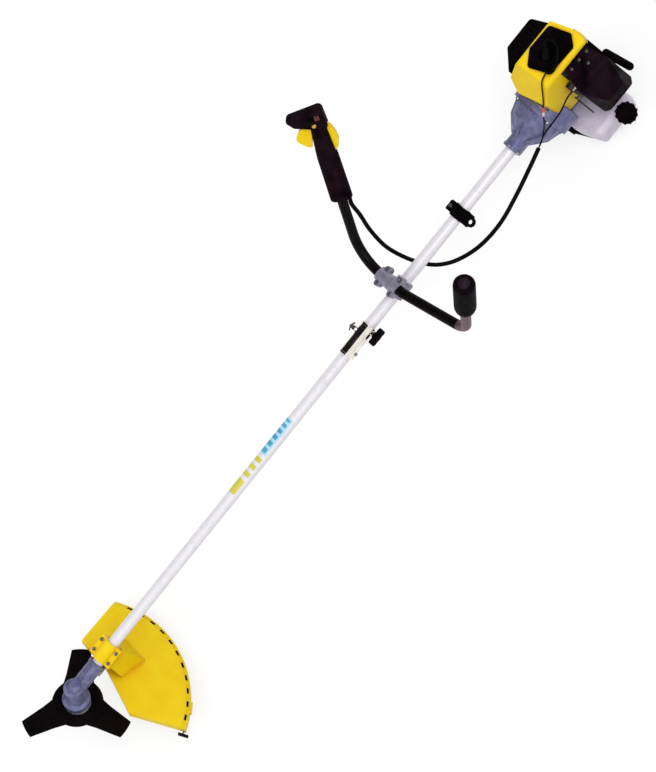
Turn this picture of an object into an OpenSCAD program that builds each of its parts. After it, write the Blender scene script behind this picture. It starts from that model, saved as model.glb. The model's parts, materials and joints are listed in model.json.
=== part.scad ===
// Brush cutter with a two-part shaft, a bull handlebar, a two-stroke engine and a three-tooth blade.
// The machine is drawn along its shaft, with the gear head's centre at zero, +X to the rear, +Y to the
// operator's right and +Z up. It is then laid on the floor on its tank stand and its guard.

/* [Shaft] */
// Outside diameter of the shaft tubes
tube_d = 26; // [24:0.5:28]
// Wall of the shaft tubes
tube_wall = 1.6; // [1.2:0.1:2.2]
// Distance from the gear head's centre to the clutch housing
shaft_len = 1500; // [1400:10:1600]
// Diameter of the drive shaft inside the tubes
drive_d = 8; // [7:0.5:9]
// Length of each bush that carries the drive shaft
bush_len = 24; // [16:1:32]

/* [Coupler] */
// Distance from the gear head's centre to the coupler's lower end
coupler_at = 951; // [900:1:980]
// Length of the coupler sleeve
coupler_len = 80; // [76:1:96]
// Outside diameter of the coupler sleeve
coupler_d = 34; // [33:0.5:38]
// How deep the lower tube is fixed in the coupler
coupler_depth = 26; // [22:1:30]

/* [Gear head] */
// Angle between the shaft and the blade's plane
head_angle = 32; // [30:0.5:34]
// Distance from the gear head's centre down to the blade
blade_drop = 62; // [60:1:68]
// Module of the bevel teeth at their large end
gear_module = 1.5; // [1.4:0.05:1.5]

/* [Blade] */
// Diameter of the blade over its teeth
blade_d = 255; // [230:5:255]
// Thickness of the blade
blade_t = 1.8; // [1.4:0.1:2.4]
// Diameter of the blade's hub disc
blade_hub_d = 114; // [90:2:120]
// Bore of the blade
blade_bore_d = 25.4; // [20:0.2:25.4]
// Width of a tooth at its tip
tooth_w = 42; // [30:1:50]

/* [Guard] */
// Outer radius of the guard
guard_r = 249; // [240:1:258]
// Wall of the guard
guard_wall = 3; // [2.5:0.1:4]
// Depth of the guard's skirt
skirt_depth = 23; // [20:1:34]
// Number of slots along the guard's rim
slot_count = 11; // [6:1:14]

/* [Handlebar] */
// Distance from the gear head's centre to the handlebar bracket
bracket_at = 1132; // [1090:2:1170]
// Outside diameter of the handlebar
bar_d = 22; // [20:0.5:24]
// Height of the handlebar's axis over the shaft's axis
bar_rise = 38; // [36:0.5:44]
// Radius of the bend on the right
bar_bend_r = 90; // [80:5:110]
// Length of the straight run on the right, up to the throttle handle
right_run = 95; // [85:5:115]
// Length of the straight run on the left
left_run = 130; // [110:2:150]
// Length of the upright on the left, under its grip
left_stub = 64; // [50:2:80]
// Length of the left grip
grip_len = 116; // [110:2:140]
// Outside diameter of the left grip
grip_d = 46; // [38:1:48]

/* [Throttle handle] */
// Length of the throttle handle
handle_len = 226; // [220:2:240]
// Thickness of the throttle handle, side to side
handle_w = 34; // [33:0.5:38]

/* [Harness] */
// Distance from the gear head's centre to the harness clamp
harness_at = 1332; // [1290:2:1370]
// Diameter of the eye for the harness hook
eye_d = 10; // [8:0.5:11]
// Thickness of the harness ear
ear_t = 6; // [5:0.5:8]

/* [Engine] */
// Length of the clutch housing
clutch_len = 98; // [96:1:104]
// Radius of the fan housing
fan_r = 66; // [64:1:68]
// Distance from the clutch housing's front to the cylinder's axis
cylinder_at = 192; // [190:1:194]
// Height of the cylinder's top over the crankshaft
cylinder_top = 132; // [128:1:134]
// Number of cooling fins
fin_count = 9; // [6:1:10]
// Fan blades on the flywheel
fan_blades = 16; // [10:1:20]
// Radius of the starter housing
starter_r = 64; // [62:1:66]
// Radius at which the starter rope winds
rope_wind_r = 29.5; // [28:0.5:31]
// Drop from the crankshaft to the stand's bottom
stand_drop = 147; // [145:1:155]

/* [Hidden] */
$fn = 48;
fit = 0.03;
run = 0.05;
gap = 0.3;
lap = 0.5;
// Reach of a cut that has to pass every piece
beyond = 400;

// Shaft and coupler
tube_r = tube_d / 2;
tube_in = tube_r - tube_wall;
drive_r = drive_d / 2;
coupler_r = coupler_d / 2;
coupler_end = coupler_at + coupler_len;
lower_end = coupler_at + coupler_depth;
knob_at = coupler_end - 9;
latch_at = coupler_end - 25;
fix_screw_at = coupler_at + 14;
socket_square = 6;
socket_len = 26;
socket_at = lower_end + 4;
latch_angle = 30;
boss_r = 7;
boss_out = coupler_r + 4;
knob_r = 4;
pin_r = 3;

// Gear head
pinion_teeth = 15;
crown_teeth = 20;
sigma = 90 - head_angle;
pinion_cone = atan2(sin(sigma), crown_teeth / pinion_teeth + cos(sigma));
crown_cone = sigma - pinion_cone;
cone_dist = crown_teeth * gear_module / 2 / sin(crown_cone);
gear_face = 9;
backlash = 0.3;
pressure = 20;
crown_top = cone_dist * cos(crown_cone) + 1.6;
crown_foot = (cone_dist - gear_face) * cos(crown_cone);
pinion_back = cone_dist * cos(pinion_cone) + 3;
pinion_foot = (cone_dist - gear_face) * cos(pinion_cone);
crown_square = 9.6;
pinion_square = 6.4;
bearing_r = tube_r;
bearing_w = 8;
low_bearing_r = 17.5;
low_bearing_w = 11;
low_bearing_z = -26.5;
journal_r = 5;
output_r = 7.5;
spindle_r = 6;
chamber_r = 18.4;
case_r = chamber_r + 4.2;
case_foot_r = 31;
case_floor = -41;
case_top = crown_top + 0.3 + bearing_w;
sleeve_r = tube_r + 5;
sleeve_end = 84;
tube_seat = pinion_back + 2.4 + 2 * bearing_w;
case_bolts_at = [62, 76];
case_ear_z = -25;

// Blade and its clamping flanges, heights along the blade's axis
blade_r = blade_d / 2;
blade_top = -blade_drop + blade_t / 2;
blade_low = -blade_drop - blade_t / 2;
tooth_turn = 47;
tooth_foot = [blade_hub_d / 2 + 12, 29];
tooth_narrow = (tooth_foot[1] - tooth_w / 2) / (blade_r - tooth_foot[0]);
flange_r = 30;
register_r = blade_bore_d / 2 - run;
nut_top = blade_low - 7;

// Guard, in the blade's frame: x away from the blade towards the rear, y to the operator's right
plate_in = [50, -22];
plate_out = [guard_r - 10, -44];
rim_z = -51;
skirt_z = -46 - skirt_depth;
guard_right = 27.5;
guard_left = -58.5;
guard_corner = [95, 97];
guard_waist = [92, 12];
guard_heel = [61, -107];
slot_r = guard_r - 6.5;
slot_w = 5;
slot_len = 13;
strip_out = guard_r - guard_wall - 0.15;
strip_t = 2.4;
knife_turn = guard_left - 2.2;
pad_turn = guard_left + 12;
clamp_from = 92;
clamp_to = 140;
clamp_r = tube_r + 5;
clamp_ear = 30;
clamp_bolts_at = [clamp_from + 10, clamp_to - 10];

// Handlebar: its right bend leads to the throttle handle, its tight left one to the grip
bar_r = bar_d / 2;
bar_wall = 2;
bar_mid = [bracket_at, 0, bar_rise];
right_start = 42;
left_start = 20;
right_dir = [0, 1, 0];
handle_dir = unit([0.52, 0.42, 0.75]);
left_dir = unit([0.19, -0.98, -0.03]);
grip_dir = unit([0.435, -0.03, 0.9]);
left_bend_r = 32;
right_turn = acos(right_dir * handle_dir);
left_turn = acos(left_dir * grip_dir);
right_side = unit(reject(handle_dir, right_dir));
left_side = unit(reject(grip_dir, left_dir));
right_from = bar_mid + right_start * right_dir;
right_end = bend_end(right_from, right_dir, right_side, bar_bend_r, right_turn);
handle_base = right_end + right_run * handle_dir;
sweep_from = bar_mid - left_start * right_dir;
sweep_r = 60;
sweep_turn = acos(-right_dir * left_dir);
sweep_side = unit(reject(left_dir, right_dir));
sweep_end = bend_end(sweep_from, -right_dir, sweep_side, sweep_r, sweep_turn);
left_from = sweep_end + left_run * left_dir;
left_up = bend_end(left_from, left_dir, left_side, left_bend_r, left_turn);
grip_base = left_up + left_stub * grip_dir;
bar_in_grip = 100;
bar_in_handle = 90;
barrel_from = -17;
barrel_to = 40;
bracket_screws_y = [-10, 28];
bracket_screw_x = 18;
bracket_lip = 8;

// Throttle handle, along its own axis from its lower end, trigger side along x; heights of its
// controls are taken down from its top
trigger_side = [-0.866, 0.5, 0];
handle_half = handle_w / 2;
handle_neck = handle_len - 58;
trigger_pivot = [17, -42];
lockout_pivot = [-15, -50];
button_at = [4, 11, -36];
pivot_r = 2.5;
handle_screws_at = [handle_len - 122, handle_len - 68];

// Cables: sheath from the handle to the engine, bare throttle wire to the carburettor, and stop wire
sheath_r = 4.6;
wire_r = 1.6;
stop_r = 1.3;
joint_r = 2.7;
lead_r = 2.8;
cable_exit = handle_base - 16.8 * unit(reject(trigger_side, handle_dir)) - 0.5 * handle_dir;
sheath_end = [shaft_len + 38, -50, 10];
sheath_route = [cable_exit, cable_exit - 22 * handle_dir, [bracket_at + 72, 128, 104],
  [bracket_at + 58, 104, 70], [bracket_at + 49, 72, 30], [bracket_at + 54, 38, 0],
  [bracket_at + 66, 8, -24], [bracket_at + 86, -20, -37],
  [bracket_at + 120, -44, -44], [shaft_len - 196, -62, -46], [shaft_len - 134, -68, -40],
  [shaft_len - 70, -62, -28], [shaft_len - 4, -54, -8], sheath_end];
wire_route = [sheath_end, sheath_end + [30, 2, 18], sheath_end + [58, -4, 36], sheath_end + [88, -10, 56],
  sheath_end + [118, -14, 82.5], [shaft_len + cylinder_at - 8.4, -66, 98.5]];
joint_from = [shaft_len + 109.5, -37, 92.5];
joint_to = [shaft_len + 97, -41, 74];
stop_route = [[shaft_len + cylinder_at - 25.1, -20, 153.8], [shaft_len + 157, -22.5, 154],
  [shaft_len + 149, -25.5, 153.6], [shaft_len + 140, -29, 143.4], [shaft_len + 125, -34.5, 119.2],
  joint_from];
stop_tail = [joint_to, [shaft_len + 82, -47, 55], [shaft_len + 63, -51.5, 35],
  [shaft_len + 48, -52.4, 21.5], sheath_end + [0.9, -1.6, 3.9]];
lead_end = [cylinder_at - 19.5, -14.5, 150];
lead_route = [[212.3, 17, 169.2], [221, 13, 171], [225, 0, 168], [215, -15, 164], [200, -26, 162],
  [185, -32, 161.5], [174, -32, 161.5], [169.5, -24, 161], [171.5, -16.5, 157.8], lead_end];

// Harness clamp
harness_bolt_y = 24;
eye_y = -31;

// Engine, from the clutch housing's front face to the rear
flange_bolt_r = fan_r - 6;
collar_bolts_at = [9, 24];
collar_ear_z = -27;
tube_in_housing = 32;
collar_r = tube_r + 7;
drum_hub = 36;
drum_square = 5.2;
clutch_seat = 38;
clutch_bearing_w = 12;
clutch_bearing_r = 16;
clutch_journal = 8;
drum_r = 39;
drum_wall = 3;
drum_from = 66;
drum_to = 90;
fan_back = clutch_len + 40;
fan_wall = 3;
crank_r = 7.5;
core_r = 46;
core_end = cylinder_at + 38;
main_bearing_r = 18;
main_bearing_w = 14;
front_bearing_at = fan_back + 10;
rear_bearing_at = core_end - 4 - main_bearing_w;
web_r = 29;
web_w = 10;
crank_throw = 16;
cylinder_base = 47;
fin_x = 74;
fin_y = 82;
fin_t = 2.4;
bore_r = 20;
port_out = 47;
port_z = 78;
flywheel_at = clutch_len + 6;
fan_tip = fan_r - fan_wall - 2;

// Recoil starter
starter_end = core_end + 40;
pulley_from = starter_end - 20;
pulley_w = 16;
rope_x = pulley_from + 4.3;
post_r = 8;
rope_r = 1.8;
rope_dir = unit([0.225, -0.6, 0.76]);
rope_foot = -rope_wind_r * unit(cross(rope_dir, [1, 0, 0]));
guide_from = 34;
rope_exit = 75;
t_bar_len = 74;
t_bar_r = 8.5;
t_bar_at = rope_exit + 23;
t_bar_turn = 9;

// Shroud and hood, outlines from above going clockwise
cover_wall = 2.5;
cover_round = 11;
cover_left = -50;
cover_right = 66;
cover_front = clutch_len + 2;
cover_rear = core_end + 42;
cover_top = cylinder_top + 20;
cover_hump = cylinder_at - 44;
cover_plan = [[cover_front, 36], [cover_front + 21, cover_right + 1], [cover_rear - 27, cover_right + 1],
  [cover_rear, -20], [cover_rear - 10, -44], [cover_rear - 18, cover_left - 1],
  [cover_front + 18, cover_left - 1]];
hood_plan = [[cylinder_at - 39, 19], [cylinder_at - 7, 41], [cylinder_at + 52, 39], [cylinder_at + 67, -9],
  [cylinder_at + 48, -32], [cylinder_at - 21, -29]];
hood_round = 7;
boot_r = 9;

// Exhaust
muffler_from = cylinder_at - 34;
muffler_to = cylinder_at + 36;
muffler_low = 40;
muffler_top = 102;
muffler_out = 90;
shield_from = cylinder_at - 72;
shield_to = cylinder_at + 56;
shield_face = [cylinder_at - 39, cylinder_at + 42];
shield_low = 18;
shield_top = 112;
shield_out = 103;
shield_round = 8;
shield_wall = 2.5;

// Carburettor and air filter on the left
carb_x = cylinder_at;
carb_z = port_z;
carb_out = 80;
lever_at = [carb_x + 10, -66];
choke_at = [carb_x - 16, -70, 66];
primer_x = carb_x + 6;
plate_y = -carb_out - 0.2;
filter_right = -34;
filter_top = 140;
filter_low = -16;
filter_out = -123;
filter_wall = 2.5;
filter_round = 9;
filter_plan = [[cylinder_at + 4, filter_right - 4], [core_end + 26, filter_right - 4], [core_end + 34, -80],
  [core_end + 38, -97], [core_end + 18, filter_out], [cylinder_at + 11, filter_out], [cylinder_at - 14, -100],
  [cylinder_at - 9, -82]];
filter_side = [[filter_right - 4, filter_low], [filter_out + 13, filter_low], [filter_out, 15],
  [filter_out, 55],
  [filter_out + 25, filter_top], [filter_right - 4, filter_top]];

// Fuel tank under the crankcase, its neck on the left
tank_from = clutch_len + 14;
tank_to = core_end + 6;
tank_left = -105;
tank_right = 82;
tank_top = -fan_r - 4;
tank_low = -stand_drop + 9;
tank_round = 15;
tank_wall = 3;
tank_plan = [[tank_from, tank_right], [tank_to, tank_right], [tank_to, tank_left + 22], [tank_to - 10,
  tank_left],
  [tank_from + 21, tank_left], [tank_from, tank_left + 58]];
neck_base = [cylinder_at + 12, tank_left + 12, tank_top - 30];
neck_dir = unit([0, -0.6, 0.8]);
neck_len = 42;
neck_r = 17;
cap_r = 23.5;
cap_h = 18;

// Stand, and the floor under the machine at rest through the guard's rim and the stand's bottom
stand_len = 116;
stand_w = 134;
stand_t = 4;
stand_x = shaft_len + 160;
guard_low = [guard_r * cos(head_angle) + skirt_z * sin(head_angle),
  -guard_r * sin(head_angle) + skirt_z * cos(head_angle)];
floor_tilt = atan2(-stand_drop - guard_low[1], stand_x - guard_low[0]);

function unit(v) = v / norm(v);
function reject(v, d) = v - (v * d) * d;
function round_corner(a, b, c, r) =
  let (u = unit(a - b), v = unit(c - b), half = acos(u * v) / 2, centre = b + unit(u + v) * r / sin(half))
  let (first = b + u * r / tan(half) - centre, last = b + v * r / tan(half) - centre)
  [for (k = [0:6]) centre + r * unit(first + (last - first) * k / 6)];
function rounded_points(p, r) =
  let (n = len(p))
  [for (i = [0:n - 1]) each round_corner(p[(i + n - 1) % n], p[i], p[(i + 1) % n], r)];
// A clockwise outline made smaller all round
function shrunk(p, d) =
  let (n = len(p))
  [for (i = [0:n - 1])
    let (a = unit(p[i] - p[(i + n - 1) % n]), b = unit(p[(i + 1) % n] - p[i]))
    let (first = [a[1], -a[0]], last = [b[1], -b[0]])
    p[i] + d * (first + last) / (1 + first * last)];
function bend_end(p, d, side, r, turn) = p + r * side + r * (sin(turn) * d - cos(turn) * side);

// Moves children so that their z runs along a direction from a point, with x near another
module aim(p, along, x_near) {
  z = unit(along);
  x = unit(reject(x_near, z));
  y = cross(z, x);
  multmatrix([[x[0], y[0], z[0], p[0]], [x[1], y[1], z[1], p[1]], [x[2], y[2], z[2], p[2]]]) children();
}

// The laid machine: its origin is the middle of the stand's bottom
module laid() {
  rotate([0, floor_tilt, 0]) translate([-stand_x, 0, stand_drop]) children();
}

// The blade's frame at the gear head
module head() {
  rotate([0, head_angle, 0]) children();
}

module engine() {
  translate([shaft_len, 0, 0]) children();
}

module rod_x(from, to, r) {
  translate([from, 0, 0]) rotate([0, 90, 0]) cylinder(h = to - from, r = r);
}

module ring_x(from, to, r, bore) {
  difference() {
    rod_x(from, to, r);
    rod_x(from - 1, to + 1, bore);
  }
}

// A turned piece about the shaft's axis, from [radius, x] points
module turned_x(points) {
  rotate([0, 90, 0]) rotate_extrude() polygon(points);
}

module box(low, high) {
  translate(low) cube(high - low);
}

// A round bar from one point along a direction
module bar(p, d, len, r) {
  aim(p, d, abs(d[0]) < 0.9 ? [1, 0, 0] : [0, 1, 0]) cylinder(h = len, r = r);
}

// A round bend that starts at a point along a direction and turns to one side
module bend(p, d, side, r, turn, bar_radius) {
  centre = p + r * side;
  x = -side;
  z = cross(d, side);
  multmatrix([[x[0], d[0], z[0], centre[0]], [x[1], d[1], z[1], centre[1]], [x[2], d[2], z[2], centre[2]]])
    rotate_extrude(angle = turn, $fn = 96) translate([r, 0]) circle(r = bar_radius, $fn = 48);
}

// Cap screw whose head sits at z = 0 and whose shank points down
module screw(r, len, head_r, head_h) {
  difference() {
    union() {
      translate([0, 0, -len]) cylinder(h = len, r = r);
      cylinder(h = head_h, r = head_r);
    }
    translate([0, 0, head_h / 2]) cylinder(h = head_h, r = head_r * 0.55, $fn = 6);
  }
}

// Bevel teeth
function involute(a) = tan(a) * 180 / PI - a;
function half_tooth(rho, pitch, base, half) =
  half + involute(pressure) - (rho > base ? involute(acos(base / rho)) : 0);
function tooth_point(rho, side, cone, pitch, half) =
  let (base = pitch * cos(pressure))
  let (turn = side * half_tooth(rho, pitch, base, half) / cos(cone))
  let (reach = cone_dist / cos(cone) - rho * sin(cone))
  let (r = rho * cos(cone) * cone_dist * cos(cone) / reach)
  [r, turn];
function bevel_outline(teeth, cone, phase) =
  let (pitch = teeth * gear_module / 2 / cos(cone))
  let (half = (PI * gear_module / 2 - backlash) / 2 / pitch * 180 / PI)
  let (tip = pitch + 0.85 * gear_module)
  let (root = pitch - 1.2 * gear_module)
  let (steps = [for (k = [0:5]) root + (tip - root) * k / 5])
  [for (i = [0:teeth - 1]) each
    [for (side = [-1, 1]) each
      [for (k = [0:5])
        let (q = tooth_point(steps[side < 0 ? k : 5 - k], side, cone, pitch, half))
        let (turn = q[1] + 360 * i / teeth + phase)
        q[0] * [cos(turn), sin(turn)]]]];

// Bevel gear with its apex at the origin and its axis along z
module bevel_gear(teeth, cone, phase, back, square) {
  large = cone_dist * cos(cone);
  small = (cone_dist - gear_face) * cos(cone);
  hub_r = teeth * gear_module / 2 - 1.4 * gear_module;
  difference() {
    union() {
      translate([0, 0, large]) mirror([0, 0, 1])
        linear_extrude(height = large - small, scale = small / large)
        polygon(bevel_outline(teeth, cone, phase));
      translate([0, 0, large]) cylinder(h = back - large, r = hub_r, $fn = 12);
    }
    translate([0, 0, large]) cube([square, square, 4 * large], center = true);
  }
}

module crown_gear() {
  color("dimgray") head() bevel_gear(crown_teeth, crown_cone, 180 / crown_teeth, crown_top, crown_square);
}

module pinion_gear() {
  color("dimgray") aim([0, 0, 0], [1, 0, 0], [0, 0, 1])
    bevel_gear(pinion_teeth, pinion_cone, 0, pinion_back, pinion_square);
}

module output_shaft() {
  shaft_low = nut_top - 12;
  key = crown_square / 2 - fit;
  journal_low = low_bearing_z - low_bearing_w - 2;
  color("silver") head() union() {
    translate([0, 0, crown_top]) cylinder(h = case_top - crown_top - gap, r = journal_r - run);
    box([-key, -key, crown_foot - lap], [key, key, crown_top + lap / 5]);
    translate([0, 0, low_bearing_z - lap]) cylinder(h = crown_foot - low_bearing_z + lap, r = output_r - 0.3);
    translate([0, 0, journal_low]) cylinder(h = low_bearing_z - journal_low, r = output_r - run);
    translate([0, 0, shaft_low]) cylinder(h = journal_low - shaft_low + lap, r = spindle_r);
  }
}

module bearing(r, bore, w) {
  difference() {
    cylinder(h = w, r = r);
    translate([0, 0, -1]) cylinder(h = w + 2, r = bore);
  }
}

module head_bearings() {
  color("gainsboro") {
    head() translate([0, 0, crown_top + 0.2]) bearing(bearing_r, journal_r, bearing_w);
    head() translate([0, 0, low_bearing_z - low_bearing_w]) bearing(low_bearing_r, output_r, low_bearing_w);
    for (i = [0, 1]) translate([pinion_back + 1.2 + i * (bearing_w + 0.2), 0, 0]) rotate([0, 90, 0])
      bearing(bearing_r, journal_r, bearing_w);
  }
}

module gear_case() {
  color("slategray") difference() {
    union() {
      head() rotate_extrude() polygon([[0, case_top + 5], [8, case_top + 5], [11, case_top + 3.5],
        [bearing_r + 3.2, case_top + 1], [bearing_r + 4, crown_top + 2], [case_r, crown_top - 5],
        [case_r + 0.6, low_bearing_z], [case_r + 2, case_floor + 11], [case_foot_r, case_floor + 7],
        [case_foot_r, case_floor], [0, case_floor]]);
      rod_x(0, sleeve_end, sleeve_r);
      rod_x(sleeve_end - 8, sleeve_end, sleeve_r + 1.5);
      box([case_bolts_at[0] - 8, -10, case_ear_z - 7], [case_bolts_at[1] + 8, 10, 0]);
      for (side = [-1, 1]) rotate([90 * side, 0, 0]) box([10, 0, -2], [sleeve_end - 10, sleeve_r + 3, 2]);
    }
    head() translate([0, 0, low_bearing_z + 0.1]) cylinder(h = crown_top - low_bearing_z, r = chamber_r);
    head() translate([0, 0, case_floor - 1])
      cylinder(h = low_bearing_z - case_floor + 1.2, r = low_bearing_r + fit);
    head() translate([0, 0, crown_top]) cylinder(h = case_top - crown_top + 0.1, r = bearing_r + fit);
    rod_x(0, sleeve_end + 1, tube_r + fit);
    box([case_bolts_at[0] - 9, -1.5, case_ear_z - 8], [sleeve_end + 1, 1.5, 0]);
    for (x = case_bolts_at) translate([x, 0, case_ear_z]) rotate([90, 0, 0])
      cylinder(h = 40, r = 2.55, center = true);
  }
}

// Screws of the gear case's clamp, of the guard's clamp and of the coupler's fixed end
module head_bolts() {
  color("silver") {
    for (x = case_bolts_at) translate([x, 10, case_ear_z]) rotate([-90, 0, 0]) screw(2.5, 20, 4.5, 4.5);
    for (x = clamp_bolts_at) for (side = [-1, 1])
      translate([x, side * (clamp_ear - 6), 6]) screw(2.5, 14, 4, 3);
    translate([fix_screw_at, -coupler_r, 0]) rotate([90, 0, 0]) screw(2.5, coupler_r - tube_r - gap, 4, 3);
  }
}

// The three teeth, each narrowing from its foot to its tip
module tooth_outline(inset) {
  tip = 2 * blade_r;
  half = tooth_foot[1] - inset;
  tip_half = half - tooth_narrow * (tip - tooth_foot[0]);
  intersection() {
    circle(r = blade_r, $fn = 180);
    for (i = [0:2]) rotate(tooth_turn + 120 * i)
      polygon([[0, half + 15], [tooth_foot[0], half], [tip, tip_half], [tip, -tip_half],
        [tooth_foot[0], -half], [0, -half - 15]]);
  }
}

module blade() {
  edge_t = blade_t / 3;
  color([0.1, 0.1, 0.11]) head() translate([0, 0, -blade_drop]) difference() {
    union() {
      linear_extrude(height = blade_t, center = true) union() {
        circle(r = blade_hub_d / 2);
        tooth_outline(6);
      }
      linear_extrude(height = edge_t, center = true) tooth_outline(0);
    }
    cylinder(h = 4 * blade_t, r = blade_bore_d / 2, center = true);
  }
}

module upper_flange() {
  color("gray") head() difference() {
    rotate_extrude() polygon([[0, case_floor - 2], [15, case_floor - 2], [15, blade_top + 9], [20,
      blade_top + 6],
      [flange_r, blade_top + 4], [flange_r, blade_top], [register_r, blade_top], [register_r,
        blade_low + 0.3],
      [0, blade_low + 0.3]]);
    cylinder(h = beyond, r = spindle_r + fit, center = true);
  }
}

module lower_flange() {
  color("gray") head() difference() {
    rotate_extrude() polygon([[0, nut_top], [10, nut_top], [14, nut_top + 1], [flange_r - 4, nut_top + 2],
      [flange_r - 2, blade_low - 2], [flange_r - 2, blade_low], [0, blade_low]]);
    cylinder(h = beyond, r = spindle_r + fit, center = true);
  }
}

module blade_nut() {
  color("silver") head() difference() {
    translate([0, 0, nut_top - 9]) cylinder(h = 9, r = 10.5, $fn = 6);
    cylinder(h = beyond, r = spindle_r + fit, center = true);
  }
}

module guard_outline(inset) {
  far = 1.2 * guard_r;
  left = [cos(guard_left), sin(guard_left)];
  polygon([guard_corner + [inset, -inset], far * [cos(guard_right), sin(guard_right)] + [0, -inset],
    far * [1, 0], far * left + inset * [-left[1], left[0]],
    guard_heel + [inset, inset], guard_waist + [inset, 0]]);
}

module guard_sector(points) {
  rotate([0, 0, guard_left - 8]) rotate_extrude(angle = 120, $fn = 180) polygon(points);
}

module guard_shell() {
  down = [0, -guard_wall];
  intersection() {
    guard_sector([plate_in, plate_out, [guard_r, rim_z], [guard_r, skirt_z], [guard_r - guard_wall, skirt_z],
      [guard_r - guard_wall, rim_z - 2], plate_out + down, plate_in + down]);
    linear_extrude(height = beyond, center = true) guard_outline(0);
  }
  intersection() {
    guard_sector([plate_in, plate_out, [guard_r - 1, rim_z], [guard_r - 1, rim_z - 14], plate_out - [0, 18],
      plate_in - [0, 18]]);
    linear_extrude(height = beyond, center = true) difference() {
      guard_outline(0);
      guard_outline(guard_wall);
    }
  }
}

// The raised neck between the guard's plate and the shaft tube
module guard_neck(wall, top, foot) {
  hull() {
    box([clamp_from + wall, -22 + wall, top - 2], [clamp_to - wall, 22 - wall, top]);
    head() box([104 + wall, -34 + wall, -32 - foot], [108 + wall, 34 - wall, -30 - foot]);
    head() box([164 - wall, -34 + wall, -38 - foot], [168 - wall, 34 - wall, -36 - foot]);
  }
}

module rim_slots(len, w, low, high) {
  step = (guard_right - guard_left - 12) / (slot_count - 1);
  for (i = [0:slot_count - 1]) rotate([0, 0, guard_right - 6 - i * step])
    box([slot_r - w / 2, -len / 2, low], [slot_r + w / 2, len / 2, high]);
}

module guard() {
  color("gold") difference() {
    union() {
      head() guard_shell();
      head() rotate([0, 0, pad_turn]) box([guard_r - 2, -13, rim_z - 9], [guard_r + 4, 13, rim_z - 1]);
      guard_neck(0, -12, 0);
      rod_x(clamp_from, clamp_to, clamp_r);
      box([clamp_from, -clamp_ear, -6], [clamp_to, clamp_ear, 0]);
    }
    guard_neck(guard_wall, -clamp_r - guard_wall, 20);
    rod_x(clamp_from - 1, clamp_to + 1, tube_r + fit);
    box([clamp_from - 1, -clamp_ear - 1, -0.4], [clamp_to + 1, clamp_ear + 1, 40]);
    for (x = clamp_bolts_at) for (side = [-1, 1]) translate([x, side * (clamp_ear - 6), 0])
      cylinder(h = 40, r = 2.55, center = true);
    head() rim_slots(slot_len, slot_w, -60, -30);
  }
}

// Dark strip inside the guard's skirt: its tabs fill the rim's slots, and a short knife ends it
module guard_skirt() {
  color([0.13, 0.12, 0.12]) head() union() {
    intersection() {
      guard_sector([[strip_out, rim_z - 6], [strip_out, skirt_z + 3], [strip_out - strip_t, skirt_z + 3],
        [strip_out - strip_t, rim_z - 6]]);
      linear_extrude(height = beyond, center = true) guard_outline(4);
    }
    rim_slots(slot_len - 1, slot_w - 1, rim_z - 10, rim_z + 5);
    rotate([0, 0, knife_turn]) {
      box([guard_r - 14, -2, skirt_z + 0.5], [guard_r + 9, 2, rim_z - 7]);
      box([strip_out - strip_t - 1, -1, skirt_z + 1], [strip_out - 1, 20, rim_z - 14.4]);
    }
  }
}

module guard_clamp() {
  color("gold") difference() {
    union() {
      rod_x(clamp_from, clamp_to, clamp_r);
      box([clamp_from, -clamp_ear, 0], [clamp_to, clamp_ear, 6]);
    }
    rod_x(clamp_from - 1, clamp_to + 1, tube_r + fit);
    box([clamp_from - 1, -clamp_ear - 1, -40], [clamp_to + 1, clamp_ear + 1, 0.4]);
    for (x = clamp_bolts_at) for (side = [-1, 1]) translate([x, side * (clamp_ear - 6), 0])
      cylinder(h = 40, r = 2.55, center = true);
  }
}

// Shaft
module lower_tube() {
  color("gainsboro") ring_x(tube_seat, lower_end, tube_r, tube_in);
}

module lower_drive_shaft() {
  tip = pinion_foot + 1;
  key = pinion_square / 2 - fit;
  tongue = socket_square / 2;
  color("silver") union() {
    rod_x(pinion_back, tube_seat + 2, journal_r - run);
    rod_x(tube_seat + 2 - lap, socket_at, drive_r);
    box([tip, -key, -key], [pinion_back + lap, key, key]);
    box([socket_at - lap, -tongue, -tongue], [socket_at + socket_len, tongue, tongue]);
  }
}

module upper_drive_shaft() {
  socket_end = socket_at + socket_len + 6;
  color("silver") union() {
    difference() {
      rod_x(socket_at + 2, socket_end, tube_in - 2);
      box([socket_at, -socket_square / 2 - gap, -socket_square / 2 - gap],
        [socket_at + socket_len + 1, socket_square / 2 + gap, socket_square / 2 + gap]);
    }
    rod_x(socket_end, shaft_len + drum_hub, drive_r);
    box([shaft_len + drum_hub - lap, -drum_square / 2, -drum_square / 2],
      [shaft_len + drum_hub + 16, drum_square / 2, drum_square / 2]);
  }
}

module bushes(from, to, count) {
  for (i = [0:count - 1]) translate([from + i * (to - from) / (count - 1), 0, 0])
    ring_x(0, bush_len, tube_in - fit, drive_r + run);
}

module lower_bushes() {
  color("peru") bushes(tube_seat + 60, lower_end - 60, 5);
}

module upper_bushes() {
  color("peru") bushes(socket_at + socket_len + 60, shaft_len - 60, 3);
}

// Upper tube, with the keyway of the coupler's latch at its lower end
module upper_tube() {
  from = lower_end + 1.5;
  color("gainsboro") difference() {
    ring_x(from, shaft_len + tube_in_housing, tube_r, tube_in);
    rotate([latch_angle, 0, 0]) box([from - 1, 0, -3.5], [latch_at + 4, tube_r + 1, 3.5]);
  }
}

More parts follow.
